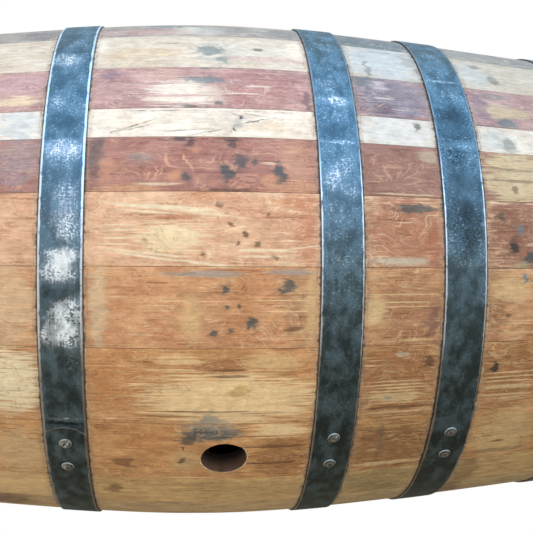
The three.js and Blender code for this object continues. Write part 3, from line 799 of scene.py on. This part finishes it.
def stave_levels():
    """Heights of a stave's cross-sections, each with its outer round-off and inner radius."""
    def inner(height):
        return wood_radius(height) - STAVE_THICKNESS

    bevel = HALF - CHIME_BEVEL_DEPTH
    groove_out = HALF - CROZE_FROM_END + CROZE_WIDTH / 2
    groove_in = HALF - CROZE_FROM_END - CROZE_WIDTH / 2
    wall = 0.2 * MM  # the groove's walls lean by this
    end_inner = wood_radius(HALF) - CHIME_FLAT
    slope = (end_inner - inner(bevel)) / CHIME_BEVEL_DEPTH
    floor = inner(HALF - CROZE_FROM_END) + CROZE_DEPTH
    top = [
        (groove_in - wall, 0, inner(groove_in)),
        (groove_in + wall, 0, floor),
        (groove_out - wall, 0, floor),
        (groove_out + wall, 0, inner(groove_out)),
        (bevel, 0, inner(bevel)),
        (HALF - CHIME_ROUND, 0, end_inner - slope * CHIME_ROUND),
        (HALF - 0.3 * CHIME_ROUND, 0.3 * CHIME_ROUND, end_inner - slope * 0.3 * CHIME_ROUND),
        (HALF, CHIME_ROUND, end_inner),
    ]
    count = round(2 * groove_in / STAVE_LEVEL_STEP)
    body = [(h, 0, inner(h)) for h in spread(-groove_in + 4 * MM, groove_in - 4 * MM, count)]
    bottom = [(-h, cut, radius) for h, cut, radius in reversed(top)]
    return bottom + body + top


LEVELS = stave_levels()


def stave_turns(node):
    """Azimuths of a stave's two edges, counter-clockwise, from its CAD solid."""
    points = node_points(node)
    middle = sum((Vector((p.x, p.y, 0)) for p in points), Vector())
    centre = azimuth_of(middle)
    turns = [(azimuth_of(p) - centre + 180) % 360 - 180 for p in points]
    return centre + min(turns), centre + max(turns)


def edge_profile(width, edge, count):
    """Points across a face with rounded edges, as (distance across, depth below the face)."""
    rounds = [(edge * (1 - math.cos(a)), edge * (1 - math.sin(a))) for a in (0, math.pi / 4, math.pi / 2)]
    flat = [(d, 0) for d in spread(edge, width - edge, count - 4)[1:-1]]
    return rounds + flat + [(width - d, depth) for d, depth in reversed(rounds)]


def stave_mesh(start, end):
    """A stave between two azimuths. Materials: 0 outside, 1 inside and joints, 2 ends."""
    vertices = []
    count = STAVE_ACROSS
    for height, cut, inner in LEVELS:
        outer = wood_radius(height) - FINE_GAP - cut
        width = math.radians(end - start) * outer
        profile = edge_profile(width, STAVE_EDGE_ROUND, count)
        for along, depth in profile:
            azimuth = start + math.degrees(along / outer)
            spot = on_side(azimuth, outer, height)
            waves = noise.noise(spot * 14) + 0.5 * noise.noise(spot * 45)
            crown = (2 * along / width - 1) ** 2
            sunk = STAVE_RELIEF * (0.35 * smooth(0.5 + 0.6 * waves) + 0.4 * crown)
            vertices.append(on_side(azimuth, outer - depth - sunk, height))
        for azimuth in spread(end, start, count):
            vertices.append(on_side(azimuth, inner, height))
    ring = 2 * count
    reach = HALF - CROZE_FROM_END
    faces = band_faces(len(LEVELS), ring)
    indices = []
    for height, _, _ in LEVELS[:-1]:
        other = 2 if abs(height) > reach else 1
        indices += [0] * (count - 1) + [other] * (ring - count + 1)
    last = (len(LEVELS) - 1) * ring
    for i in range(count - 1):
        far = ring - 1 - i
        faces.append((i + 1, i, far, far - 1))
        faces.append((last + i, last + i + 1, last + far - 1, last + far))
        indices += [2, 2]
    return vertices, faces, indices


def bung_cutter(material):
    """The tapered hole with its worn, chipped rim, as the solid that is cut away."""
    count = 96
    depth = STAVE_THICKNESS + 9 * MM
    outside = 7 * MM
    vertices = []
    for i in range(count):
        angle = 2 * math.pi * i / count
        side = Vector((math.cos(angle), 0, math.sin(angle)))
        wear = 0.5 + 0.5 * noise.noise(side * 2.3)
        nick = max(0, noise.noise(side * 6 + Vector((3, 1, 0))))
        chip = smooth(1 - abs(math.degrees(angle) - 128) / 34)
        lip = (0.9 + 0.8 * wear + 2.2 * nick + 3.6 * chip * (0.55 + 0.6 * nick)) * MM
        deep = (1.0 + 0.8 * wear + 1.2 * nick + 1.6 * chip) * MM
        for y, radius in (
            (outside, BUNG_RADIUS + lip * 1.15),
            (0, BUNG_RADIUS + lip),
            (-deep * 0.5, BUNG_RADIUS + lip * 0.35),
            (-deep, BUNG_RADIUS),
            (-depth, BUNG_RADIUS - depth * BUNG_TAPER),
        ):
            vertices.append(Vector((0, -BILGE_RADIUS - y, MIDDLE)) + side * radius)
    rows = len(vertices) // count
    faces = []
    for i in range(count):
        j = (i + 1) % count
        for row in range(rows - 1):
            faces.append((i * rows + row, i * rows + row + 1, j * rows + row + 1, j * rows + row))
    faces.append([i * rows for i in range(count)])
    faces.append([i * rows + rows - 1 for i in reversed(range(count))])
    return make_piece("bung_cutter", vertices, faces, [material])


def cut(piece, cutter):
    """Takes the cutter's solid out of the piece, and removes the cutter."""
    modifier = piece.modifiers.new("cut", "BOOLEAN")
    modifier.operation = "DIFFERENCE"
    modifier.object = cutter
    modifier.solver = "EXACT"
    modifier.material_mode = "TRANSFER"
    graph = bpy.context.evaluated_depsgraph_get()
    mesh = bpy.data.meshes.new_from_object(piece.evaluated_get(graph))
    piece.modifiers.clear()
    piece.data = mesh
    mesh.set_sharp_from_angle(angle=math.radians(SHARP_ANGLE))
    bpy.data.objects.remove(cutter)


def bung_wood_material():
    """Reamed wall of the bung hole."""
    shader = Shader("oak_bung_hole")
    position = shader.object_position()
    y = shader.separate(position)[1]
    depth = shader.times_plus(y, 1 / MM, BILGE_RADIUS / MM)
    reamed = shader.noise(position, (6 * MM, 1.2 * MM, 6 * MM), 3.0, 0.6)
    stain = shader.noise(position, (9 * MM, 9 * MM, 9 * MM), 3.0)
    colour = shader.mix(shader.step(depth, 1.0, 3.2), srgb(226, 202, 160), srgb(96, 70, 54))
    colour = shader.mix(shader.step(depth, 6.0, 24.0), colour, srgb(34, 22, 18))
    colour = shader.mix(shader.step(reamed, 0.5, 0.68, 0.0, 0.5), colour, srgb(66, 44, 32))
    colour = shader.mix(shader.step(stain, 0.52, 0.66, 0.0, 0.5), colour, srgb(84, 60, 44))
    roughness = shader.step(stain, 0.3, 0.7, 0.55, 0.8)
    return shader.finish(colour, roughness, shader.times(reamed, 0.4))


def add_staves():
    chance = random.Random(7)
    toasted = toasted_material()
    end_grain = end_grain_material()
    names = [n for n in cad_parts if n.startswith("stave_") or n == "bung_stave"]
    for number, name in enumerate(sorted(names)):
        start, end = stave_turns(name)
        azimuth = (start + end) / 2
        if name in SEEN_STAVES:
            base, second, streak, marks = SEEN_STAVES[name]
        else:
            base, second, streak = OTHER_STAVES[number % len(OTHER_STAVES)]
            marks = other_marks(chance, FRONT_AZIMUTH - azimuth)
        skin = stave_material(f"oak_{name}", azimuth, number + 1, base, second, streak, marks)
        vertices, faces, indices = stave_mesh(start, end)
        piece = make_piece(f"oak_{name}", vertices, faces, [skin, toasted, end_grain], indices)
        if name == "bung_stave":
            cut(piece, bung_cutter(bung_wood_material()))
        adopt(piece, name)


# ---------------------------------------------------------------- heads

HEAD_COLUMNS = 12
HEAD_ROWS = 30


def head_board(name, left, right, centre_z, side, has_groove, has_tongue, materials):
    """One board of a head, from left to right across it, in its outer and inner materials.
    side is 1 for the top head and -1 for the bottom one, whose outer face looks down."""
    rim = wood_radius(HALF - CROZE_FROM_END) - STAVE_THICKNESS + CROZE_DEPTH - JOINT_GAP
    collar = rim - CROZE_DEPTH - HEAD_COLLAR_MARGIN
    flat = rim - HEAD_BEVEL_WIDTH
    half = HEAD_THICKNESS / 2
    half_rim = HEAD_RIM_THICKNESS / 2
    groove = TONGUE + JOINT_GAP if has_groove else 0
    tongue = TONGUE if has_tongue else 0
    edge = 0.6 * MM
    levels = [  # height, radius, how far the left and the right side stand in
        (-half, flat - edge, edge, edge),
        (-half + edge, flat, 0, 0),
        (-half_rim - 0.3 * MM, collar, 0, 0),
        (-half_rim - 0.2 * MM, collar, groove, 0),
        (-half_rim + 0.2 * MM, rim - edge, groove, 0),
        (-0.5 * TONGUE, rim, groove, -tongue),
        (0.5 * TONGUE, rim, groove, -tongue),
        (half_rim - 0.2 * MM, rim - edge, groove, 0),
        (half_rim + 0.2 * MM, collar, groove, 0),
        (half_rim + 0.3 * MM, collar, 0, 0),
        (half - edge, flat, 0, 0),
        (half, flat - edge, edge, edge),
    ]
    vertices = []
    size = 2 * (HEAD_COLUMNS + HEAD_ROWS)
    for height, radius, in_left, in_right in levels:
        west = max(left + in_left, -radius + 1e-5)
        east = min(right - in_right, radius - 1e-5)
        columns = spread(west, east, HEAD_COLUMNS + 1)
        chord = [math.sqrt(max(0, radius * radius - x * x)) for x in columns]
        loop = [(x, -y) for x, y in zip(columns, chord)]
        loop += [(east, y) for y in spread(-chord[-1], chord[-1], HEAD_ROWS + 1)[1:-1]]
        loop += [(x, y) for x, y in reversed(list(zip(columns, chord)))]
        loop += [(west, y) for y in spread(chord[0], -chord[0], HEAD_ROWS + 1)[1:-1]]
        vertices += [Vector((x, y, height)) for x, y in loop]
    faces = band_faces(len(levels), size)
    indices = [0] * len(faces)

    def cap(first, sink):
        """Closes one face with a grid between the loop's two arcs."""
        grid = {}
        for c in range(HEAD_COLUMNS + 1):
            grid[c, 0] = first + c
            grid[c, HEAD_ROWS] = first + 2 * HEAD_COLUMNS + HEAD_ROWS - c
        for r in range(1, HEAD_ROWS):
            grid[HEAD_COLUMNS, r] = first + HEAD_COLUMNS + r
            grid[0, r] = first + size - r
        for c in range(1, HEAD_COLUMNS):
            for r in range(1, HEAD_ROWS):
                south = vertices[grid[c, 0]]
                north = vertices[grid[c, HEAD_ROWS]]
                spot = south.lerp(north, r / HEAD_ROWS)
                wave = 0.5 + 0.5 * noise.noise(Vector((spot.x * 30, spot.y * 9, first * 0.1)))
                spot.z -= sink * wave
                grid[c, r] = len(vertices)
                vertices.append(spot)
        for c in range(HEAD_COLUMNS):
            for r in range(HEAD_ROWS):
                quad = [grid[c, r], grid[c + 1, r], grid[c + 1, r + 1], grid[c, r + 1]]
                faces.append(quad if sink > 0 else quad[::-1])
                indices.append(0 if sink > 0 else 1)

    cap((len(levels) - 1) * size, 0.4 * MM)
    cap(0, -0.4 * MM)
    turned = [Vector((side * v.x, v.y, centre_z + side * v.z)) for v in vertices]
    return make_piece(name, turned, faces, materials, indices)


def add_heads():
    inside = toasted_material()
    tones = [
        (srgb(206, 168, 122), srgb(184, 142, 98)),
        (srgb(188, 148, 104), srgb(168, 126, 86)),
        (srgb(216, 184, 142), srgb(194, 156, 112)),
    ]
    for side, end in ((1, "top"), (-1, "bottom")):
        names = sorted(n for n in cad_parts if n.startswith(f"{end}_head_board_"))
        for i, name in enumerate(names):
            low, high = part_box(name)
            has_tongue = i < len(names) - 1
            left, right = (low.x, high.x) if side > 0 else (-high.x, -low.x)
            if has_tongue:
                right -= TONGUE
            centre_z = (low.z + high.z) / 2
            base, second = tones[i % len(tones)]
            label = f"oak_{name}"
            materials = [head_material(label, i + 7 * side + 20, base, second), inside]
            piece = head_board(label, left, right, centre_z, side, i > 0, has_tongue, materials)
            adopt(piece, name)


# ---------------------------------------------------------------- hoops

# Patches of the hoops that the camera sees, as (distance from the middle of the strap,
# turn, half width, half turn, amount): zinc bloom where it is above 0, oily film below, but for two
# painted marks of light and shade on the bottom bilge hoop.
HOOP_MARKS = {
    "bottom_bilge_hoop": [
        (0, 55, 20, 2.5, 0.18), (-8, 47.5, 18, 2.6, 0.75), (0, 41, 20, 2.5, -0.18),
        (-12, 34, 11, 2, 0.38), (2, 28.5, 22, 2.7, -0.33), (0, 23.6, 25, 1.9, 0.7),
        (0, 21, 22, 2.2, 0.34), (6, 14, 14, 3, 0.38), (9, 8, 14, 4.5, 0.5),
        (-4, 8.5, 12, 3, 0.3), (-14, 6.5, 8, 2, -0.2), (0, 4, 20, 1.0, -0.30),
        (2, 2.2, 20, 2.0, 0.8), (3, 2.4, 11, 1.3, 0.6), (-8, -0.8, 16, 2.0, 0.7),
        (8, -1.2, 14, 1.8, 0.5), (-4, -4.6, 12, 1.2, -0.5), (9, -8.2, 15, 3.4, 1.0),
        (-8, -8.2, 12, 2.4, 0.5), (-15, -7.0, 6, 1.8, -0.3), (-13, -12.6, 11, 2.2, 0.85),
        # The last two patches, a light line with a dark band under it just above the strap's outer end,
        # are a painted highlight and painted shade of the crease there.
        (8, -12.8, 16, 2.2, 0.75), (10, -17.5, 12, 2.4, 0.23), (0, -30.0, 24, 0.35, 0.38),
        (0, -31.2, 24, 0.45, -0.80),
    ],
    "top_bilge_hoop": [
        (0, 57, 20, 4, 0.16), (-8, 43, 10, 2, -0.18), (-4, 40, 16, 2.2, 0.26),
        (0, 35.3, 20, 1.4, 0.64), (0, 31, 20, 1.2, 0.18), (0, 28, 22, 2.3, -0.33),
        (0, 25.2, 23, 0.5, 0.52), (4, 20, 14, 2.5, 0.34), (-10, 17, 10, 2.5, 0.49),
        (10, 15, 10, 2, 0.38), (-8, 11, 10, 2.5, 0.23), (12, 5, 10, 3, -0.30),
        (0, 1.5, 12, 1.2, 0.23),
    ],
    "top_quarter_hoop": [
        (0, 57, 20, 3, 0.14), (0, 45, 23, 0.5, 0.60), (4, 40, 14, 3, 0.26),
        (0, 34, 18, 2, -0.21), (6, 26.2, 14, 0.9, 0.68), (0, 16, 27, 9, -0.5),
        (0, 31, 27, 7, -0.5), (0, -4, 27, 9, -0.25), (14, 22, 8, 2.5, 0.23),
        (4, 15, 10, 1, 0.20), (0, 8, 20, 5, -0.24), (-4, 1.2, 18, 1, 0.27),
    ],
}


# How far the bright band reaches in from the edges, in millimetres: rubbed steel with a painted highlight
# on it.
RUBBED_AND_LIT_WIDTH = {name: 1.5 for name in HOOP_NAMES}
RUBBED_AND_LIT_WIDTH["bottom_bilge_hoop"] = 2.3

# How much less the strap's outer end is rubbed and lit than its edges, in millimetres; the bright band
# there is partly painted highlight.
TIP_DULL = {name: 2.1 for name in HOOP_NAMES}
TIP_DULL["bottom_bilge_hoop"] = 1.4


def hoop_material(name):
    """Darkened strap steel: mottled zinc bloom, rubbed edges that carry a painted highlight, scratches
    along the strap.
    """
    shader = Shader(f"steel_{name}")
    low, high = HOOP_BANDS[name]
    place = skin_place(shader, FRONT_AZIMUTH)
    place = shader.vector("SUBTRACT", place, ((low + high) / 2 / MM, 0, 0))
    seed = 53.0 * (1 + HOOP_NAMES.index(name))
    own = shader.vector("ADD", place, (seed, 2 * seed, 0))
    cloud = shader.noise(own, (16, 26, 20), 4.0, 0.6)
    speckle = shader.noise(own, (2.6, 2.2, 3), 3.0, 0.7)
    brushed = shader.noise(own, (1.6, 26, 6), 2.0, 0.6)
    grit = shader.times_plus(speckle, 2.4, -1.2)

    placed = shader.wobble(place, (9, 9, 9), (3, 3, 0))
    level = 0.0
    for across, turn, half_across, half_turn, amount in HOOP_MARKS.get(name, []):
        size = (half_across, way_round(half_turn))
        mask = shader.patch(placed, (across, way_round(turn)), size, 0, grit, 0.6)
        level = shader.times_plus(mask, amount, level)
    colour = shader.mix(shader.step(cloud, 0.36, 0.64), srgb(86, 102, 106), srgb(122, 143, 149))
    colour = shader.mix(shader.step(level, 0.0, 1.0, 0.0, 0.45), colour, srgb(176, 184, 190))
    colour = shader.mix(shader.step(level, 0.0, -1.0, 0.0, 0.85), colour, srgb(34, 38, 40))
    flecks = shader.total((speckle, 0.85), (brushed, 0.15))
    speckled = shader.times_plus(level, 0.12, flecks)
    way = shader.separate(place)[1]
    bloom = shader.step(level, -0.1, 0.6, shader.step(way, -90.0, 60.0, 0.06, 0.42), 1.0)
    bloom = shader.times(shader.step(speckled, 0.55, 0.63), bloom)
    bloom = shader.times(bloom, shader.step(cloud, 0.38, 0.58, 0.45, 1.0))
    colour = shader.mix(bloom, colour, srgb(236, 243, 246))
    pits = shader.step(flecks, 0.43, 0.35, 0.0, 0.35)
    colour = shader.mix(pits, colour, srgb(50, 54, 56))

    edge = shader.add("Attribute", {}, attribute_name="edge").outputs["Fac"]
    uneven = shader.noise(own, (4, 11, 5), 3.0, 0.6)
    width = RUBBED_AND_LIT_WIDTH[name]
    rubbed = shader.step(shader.times_plus(uneven, 2.6, edge), width + 1.8, width + 0.9)
    # The rubbed edges carry a painted highlight: near white on the barrel's front, duller lower round it
    # and, except on the bottom bilge hoop, greyer higher round it.
    polish_and_highlight = shader.mix(shader.step(way, -118.0, -66.0), srgb(190, 184, 172), srgb(250, 252, 252))
    if name != "bottom_bilge_hoop":
        polish_and_highlight = shader.mix(shader.step(way, 95.0, 150.0), polish_and_highlight, srgb(160, 158, 156))
    colour = shader.layer(colour, polish_and_highlight, rubbed, 0.95)
    nicked = shader.times(shader.step(uneven, 0.56, 0.68), shader.step(edge, 4.0, 1.0))
    colour = shader.layer(colour, srgb(84, 90, 94), nicked, 0.6)

    relief = shader.total((cloud, 0.35), (speckle, 0.10), (brushed, 0.05))
    roughness = shader.step(shader.times_plus(speckle, 0.6, cloud), 0.55, 1.05, 0.34, 0.62)
    chalk = shader.times(bloom, shader.step(level, 0.4, 0.9, 0.6, 0.88))
    metallic = shader.math("SUBTRACT", 0.93, chalk)
    return shader.finish(colour, roughness, relief, metallic)


def strap_section(width):
    """Closed section of a strap: (distance across, height above its inner face)."""
    edge = 0.75 * MM
    top = STRAP_THICKNESS - 0.02 * MM
    corner = 0.1 * MM
    quarter = [
        (edge * (1 - math.cos(a)), top - edge * (1 - math.sin(a))) for a in spread(0, math.pi / 2, 4)
    ]
    across = [(d, top) for d in spread(edge, width - edge, 13)[1:-1]]
    back = [(width - d, h) for d, h in reversed(quarter)]
    inside = [(d, 0) for d in spread(width - 0.6 * MM, 0.6 * MM, 5)]
    return [(corner, corner)] + quarter + across + back + [(width - corner, corner)] + inside


def end_triangles(section):
    """Triangles that close a strap's end, in a row across it, as places in the section."""
    near, far = 0, len(section) - 1
    triangles = []
    while far - near > 1:
        if section[near + 1][0] <= section[far - 1][0]:
            triangles.append((near, near + 1, far))
            near += 1
        else:
            triangles.append((near, far - 1, far))
            far -= 1
    return triangles


def strap_mesh(name):
    """The strap's length from the end that lies under, once round, and over it to its tip."""
    low, high = HOOP_BANDS[name]
    width = high - low
    tip, tail = LAPS[name]
    way = -1 if tip < tail else 1  # the direction in which the strap runs round
    lap = abs(tip - tail)
    section = strap_section(width)
    radius_low = wood_radius(low) + JOINT_GAP
    radius_high = wood_radius(high) + JOINT_GAP
    mean = (radius_low + radius_high) / 2
    tip_bow = math.degrees(LAP_TIP_BOW / mean)
    climb = 5.0  # degrees over which the outer end rises onto the inner one
    dent_end = lap + 5
    bend_start = 360 + lap - 2 * tip_bow
    stations = [0]
    for end, count in (
        (lap, 12), (dent_end, 28), (360 - climb, 320), (bend_start, 24), (360 + lap, 12),
    ):
        stations += spread(stations[-1], end, count)[1:]
    vertices = []
    edges = []
    for station in stations:
        lift = (STRAP_THICKNESS + 0.01 * MM) * smooth((station - 360 + climb) / (climb - 0.4))
        end_share = max(0, (station - bend_start) / (2 * tip_bow))
        for across, height in section:
            share = across / width
            bow = tip_bow * (2 * share - 1) ** 2 * end_share
            corner = smooth((abs(2 * share - 1) - 0.8) / 0.2) * 0.12 * tip_bow * end_share
            azimuth = tail + way * (station - bow - corner)
            radius = radius_low + (radius_high - radius_low) * share
            spot = on_side(azimuth, radius, low + across)
            dents = 0.5 + 0.5 * noise.noise(spot * 60 + Vector((station * 0.05, 0, 0)))
            is_outside = height > 0.5 * STRAP_THICKNESS
            sunk = 0.22 * MM * dents if is_outside else 0
            ahead = (station - lap) * math.radians(mean) / MM
            if is_outside and abs(ahead) < 40:
                sunk += 0.5 * MM * math.exp(-((ahead - 4) / 2.6) ** 2)
            vertices.append(on_side(azimuth, radius + lift + height - sunk, low + across))
            from_tip = (stations[-1] - station) * math.radians(mean) / MM
            edges.append(min(across / MM, (width - across) / MM, from_tip + TIP_DULL[name]))
    size = len(section)
    faces = band_faces(len(stations), size, way > 0)
    last_row = (len(stations) - 1) * size
    for first, is_turned in ((0, way < 0), (last_row, way > 0)):
        for triangle in end_triangles(section):
            corners = [first + i for i in triangle]
            faces.append(corners[::-1] if is_turned else corners)
    return vertices, faces, edges


def rivet_material():
    """Hammered steel with a rubbed rim."""
    shader = Shader("steel_rivets")
    position = shader.object_millimetres()
    wear = shader.add("Attribute", {}, attribute_name="wear").outputs["Fac"]
    speckle = shader.noise(position, (1.3, 1.3, 1.3), 3.0, 0.65)
    cloud = shader.noise(position, (5, 5, 5), 3.0)
    colour = shader.mix(shader.step(cloud, 0.4, 0.6), srgb(112, 114, 110), srgb(152, 154, 150))
    bright = shader.step(shader.times_plus(speckle, 0.7, wear), 0.75, 1.15)
    colour = shader.mix(bright, colour, srgb(206, 208, 202))
    relief = shader.times(speckle, 0.16)
    return shader.finish(colour, shader.step(speckle, 0.3, 0.7, 0.32, 0.55), relief, 0.85)


def rivet_mesh(centre, out, along, nick):
    """A hammered button head on its shank. nick is how deep a fold crosses the head."""
    across = out.cross(along)
    seat = 2 * STRAP_THICKNESS + JOINT_GAP
    outline = [  # radius, height above the hoop's inner face, wear
        (0.0, 0.3 * MM, 0),
        (RIVET_SHANK_RADIUS, 0.3 * MM, 0),
        (RIVET_SHANK_RADIUS, seat, 0),
        (RIVET_HEAD_RADIUS * 0.94, seat, 0.3),
        (RIVET_HEAD_RADIUS, seat + 0.35 * MM, 0.9),
        (RIVET_HEAD_RADIUS * 0.985, seat + 0.8 * MM, 1.0),
        (RIVET_HEAD_RADIUS * 0.92, seat + 1.3 * MM, 0.8),
        (RIVET_HEAD_RADIUS * 0.82, seat + 1.75 * MM, 0.25),
        (RIVET_HEAD_RADIUS * 0.70, seat + 2.2 * MM, 0.2),
        (RIVET_HEAD_RADIUS * 0.58, seat + 2.7 * MM, 0.55),
        (RIVET_HEAD_RADIUS * 0.46, seat + 3.0 * MM, 0.7),
        (RIVET_HEAD_RADIUS * 0.30, seat + 3.2 * MM, 0.35),
        (RIVET_HEAD_RADIUS * 0.12, seat + 3.3 * MM, 0.2),
        (0.0, seat + 3.32 * MM, 0.2),
    ]
    count = 40
    vertices = []
    wear = []
    for radius, height, worn in outline[1:-1]:
        for i in range(count):
            angle = 2 * math.pi * i / count
            side = along * math.cos(angle) + across * math.sin(angle)
            is_head = height > seat + 0.1 * MM
            lump = noise.noise(centre * 90 + side * 1.4 + Vector((height * 300, 0, 0)))
            grow = 1 - 0.05 * (0.5 + lump) if is_head else 1
            sunk = 0
            if is_head and nick:
                offset = (radius * math.sin(angle + 0.5) - 0.5 * MM) / (1.5 * MM)
                sunk = nick * math.exp(-offset * offset) * min(1, (height - seat) / (1.5 * MM))
            vertices.append(centre + side * radius * grow + out * (height - sunk))
            wear.append(worn + (0.5 if sunk > 0.5 * nick > 0 else 0))
    for radius, height, worn in (outline[0], outline[-1]):
        vertices.append(centre + out * (height - (nick if height > seat else 0) * 0.8))
        wear.append(worn)
    rows = len(outline) - 2
    faces = band_faces(rows, count)
    bottom, top = len(vertices) - 2, len(vertices) - 1
    for i in range(count):
        j = (i + 1) % count
        faces.append((j, i, bottom))
        faces.append(((rows - 1) * count + i, (rows - 1) * count + j, top))
    return vertices, faces, wear


RIVET_NICKS = {"bottom_bilge_rivet_1": 1.5 * MM, "top_bilge_rivet_1": 1.1 * MM}


def set_attribute(piece, name, values):
    attribute = piece.data.attributes.new(name, "FLOAT", "POINT")
    attribute.data.foreach_set("value", values)


def add_hoops():
    rivet_steel = rivet_material()
    for name in HOOP_NAMES:
        vertices, faces, edges = strap_mesh(name)
        piece = make_piece(f"steel_{name}", vertices, faces, [hoop_material(name)], sharp=50)
        set_attribute(piece, "edge", edges)
        adopt(piece, name)
        low, high = HOOP_BANDS[name]
        radius_low = wood_radius(low) + JOINT_GAP
        radius_high = wood_radius(high) + JOINT_GAP
        tilt = math.atan2(radius_low - radius_high, high - low)
        for number in (1, 2):
            rivet = name.replace("_hoop", f"_rivet_{number}")
            points = node_points(rivet)
            azimuth = azimuth_of(sum(points, Vector()) / len(points))
            angle = math.radians(azimuth)
            flat = Vector((math.cos(angle), math.sin(angle), 0))
            out = flat * math.cos(tilt) + Vector((0, 0, math.sin(tilt)))
            along = Vector((-math.sin(angle), math.cos(angle), 0))
            centre = on_side(azimuth, (radius_low + radius_high) / 2, (low + high) / 2)
            nick = RIVET_NICKS.get(rivet, 0)
            vertices, faces, wear = rivet_mesh(centre, out, along, nick)
            piece = make_piece(f"steel_{rivet}", vertices, faces, [rivet_steel], sharp=60)
            set_attribute(piece, "wear", wear)
            adopt(piece, rivet)


# ---------------------------------------------------------------- stage, light and camera

FRONT_ANGLE = math.radians(FRONT_AZIMUTH)
TOWARDS_CAMERA = Vector((math.cos(FRONT_ANGLE), math.sin(FRONT_ANGLE), 0))
PICTURE_UP = Vector((TOWARDS_CAMERA.y, -TOWARDS_CAMERA.x, 0))
PICTURE_RIGHT = Vector((0, 0, 1))


def add_camera():
    """Level with the barrel's lower half, its long side along the barrel."""
    distance = 1.3161
    height = 0.4204
    yaw = math.radians(5.665)
    pitch = math.radians(0.177)
    roll = math.radians(0.270)
    ahead = PICTURE_RIGHT * math.sin(yaw) * math.cos(pitch)
    ahead += -TOWARDS_CAMERA * math.cos(yaw) * math.cos(pitch)
    ahead += PICTURE_UP * math.sin(pitch)
    right = ahead.cross(PICTURE_UP).normalized()
    up = right.cross(ahead)
    rolled_right = right * math.cos(roll) + up * math.sin(roll)
    rolled_up = up * math.cos(roll) - right * math.sin(roll)
    data = bpy.data.cameras.new("camera")
    data.sensor_width = 36
    data.lens = 60.96
    data.clip_start = 0.01
    camera = bpy.data.objects.new("camera", data)
    place = Matrix((rolled_right, rolled_up, -ahead)).transposed().to_4x4()
    place.translation = TOWARDS_CAMERA * distance + Vector((0, 0, height))
    camera.matrix_world = place
    bpy.context.scene.collection.objects.link(camera)
    bpy.context.scene.camera = camera


def add_floor():
    """A plain pale disc under the barrel."""
    radius = 0.85
    drop = 0.0006  # below the barrel's end, so the two faces don't coincide
    count = 96
    angles = [2 * math.pi * i / count for i in range(count)]
    rim = [(radius * math.cos(angle), radius * math.sin(angle), -drop) for angle in angles]
    shader = Shader("floor")
    shader.finish(srgb(226, 224, 220), 0.75)
    mesh = bpy.data.meshes.new("floor")
    mesh.from_pydata(rim, [], [tuple(range(count))])
    mesh.materials.append(shader.material)
    floor = bpy.data.objects.new("floor", mesh)
    bpy.context.scene.collection.objects.link(floor)


def add_key():
    """A soft square light on the bright side that leaves no reflection of its own."""
    distance = 2.6
    data = bpy.data.lights.new("key", "AREA")
    data.shape = "RECTANGLE"
    data.size = 2.2
    data.size_y = 2.2
    data.color = (1, 0.99, 0.97)
    data.energy = 22
    panel = bpy.data.objects.new("key", data)
    towards = (TOWARDS_CAMERA + 0.9 * PICTURE_UP + Vector((0, 0, 0.15))).normalized()
    panel.matrix_world = towards.to_track_quat("Z", "Y").to_matrix().to_4x4()
    panel.location = towards * distance + Vector((0, 0, MIDDLE))
    panel.visible_glossy = False
    panel.visible_camera = False
    bpy.context.scene.collection.objects.link(panel)


# What the room reflects in front of the barrel and behind it, from the lower side of the
# picture (0) to its upper side (1), and the light that it gives.
ROOM_IN_FRONT = (
    (0.0, (0.10, 0.075, 0.04)),
    (0.18, (0.12, 0.095, 0.065)),
    (0.33, (0.26, 0.24, 0.19)),
    (0.41, (0.31, 0.29, 0.26)),
    (0.5, (0.56, 0.58, 0.54)),
    (0.587, (0.76, 0.80, 0.86)),
    (0.70, (0.98, 1.24, 1.62)),
    (0.82, (0.92, 1.62, 2.55)),
    (1.0, (0.86, 1.74, 2.95)),
)
ROOM_AT_BACK = (
    (0.0, (0.13, 0.085, 0.04)),
    (0.45, (0.16, 0.17, 0.14)),
    (0.8, (0.52, 0.66, 0.74)),
    (1.0, (0.52, 0.66, 0.74)),
)
ROOM_LIGHT = ((0.0, (0.74, 0.70, 0.63)), (1.0, (1.05, 1.08, 1.12)))


def add_room():
    """A room that is brighter and bluer to one side, and white where it is looked at."""
    world = bpy.data.worlds.new("room")
    bpy.context.scene.world = world
    world.use_nodes = True
    world.cycles.sampling_method = "NONE"
    room = Nodes(world.node_tree)
    direction = room.add("TexCoord", {}).outputs["Generated"]
    up = room.vector("DOT_PRODUCT", direction, PICTURE_UP)
    up = room.add("MapRange", {"Value": up, "From Min": -1}).outputs[0]
    back = room.vector("DOT_PRODUCT", direction, TOWARDS_CAMERA)
    back = room.add("MapRange", {"Value": back, "From Min": 0.25, "From Max": -0.6}).outputs[0]
    reflection = room.mix(back, room.ramp(up, ROOM_IN_FRONT), room.ramp(up, ROOM_AT_BACK))
    path = room.add("LightPath", {}).outputs
    colour = room.mix(path["Is Glossy Ray"], room.ramp(up, ROOM_LIGHT), reflection)
    colour = room.mix(path["Is Camera Ray"], colour, (1, 1, 1, 1))
    room.put(room.tree.nodes["Background"].inputs["Color"], colour)


bpy.context.scene.view_settings.view_transform = "Standard"
add_camera()
add_staves()
add_heads()
add_hoops()
add_floor()
add_room()
add_key()
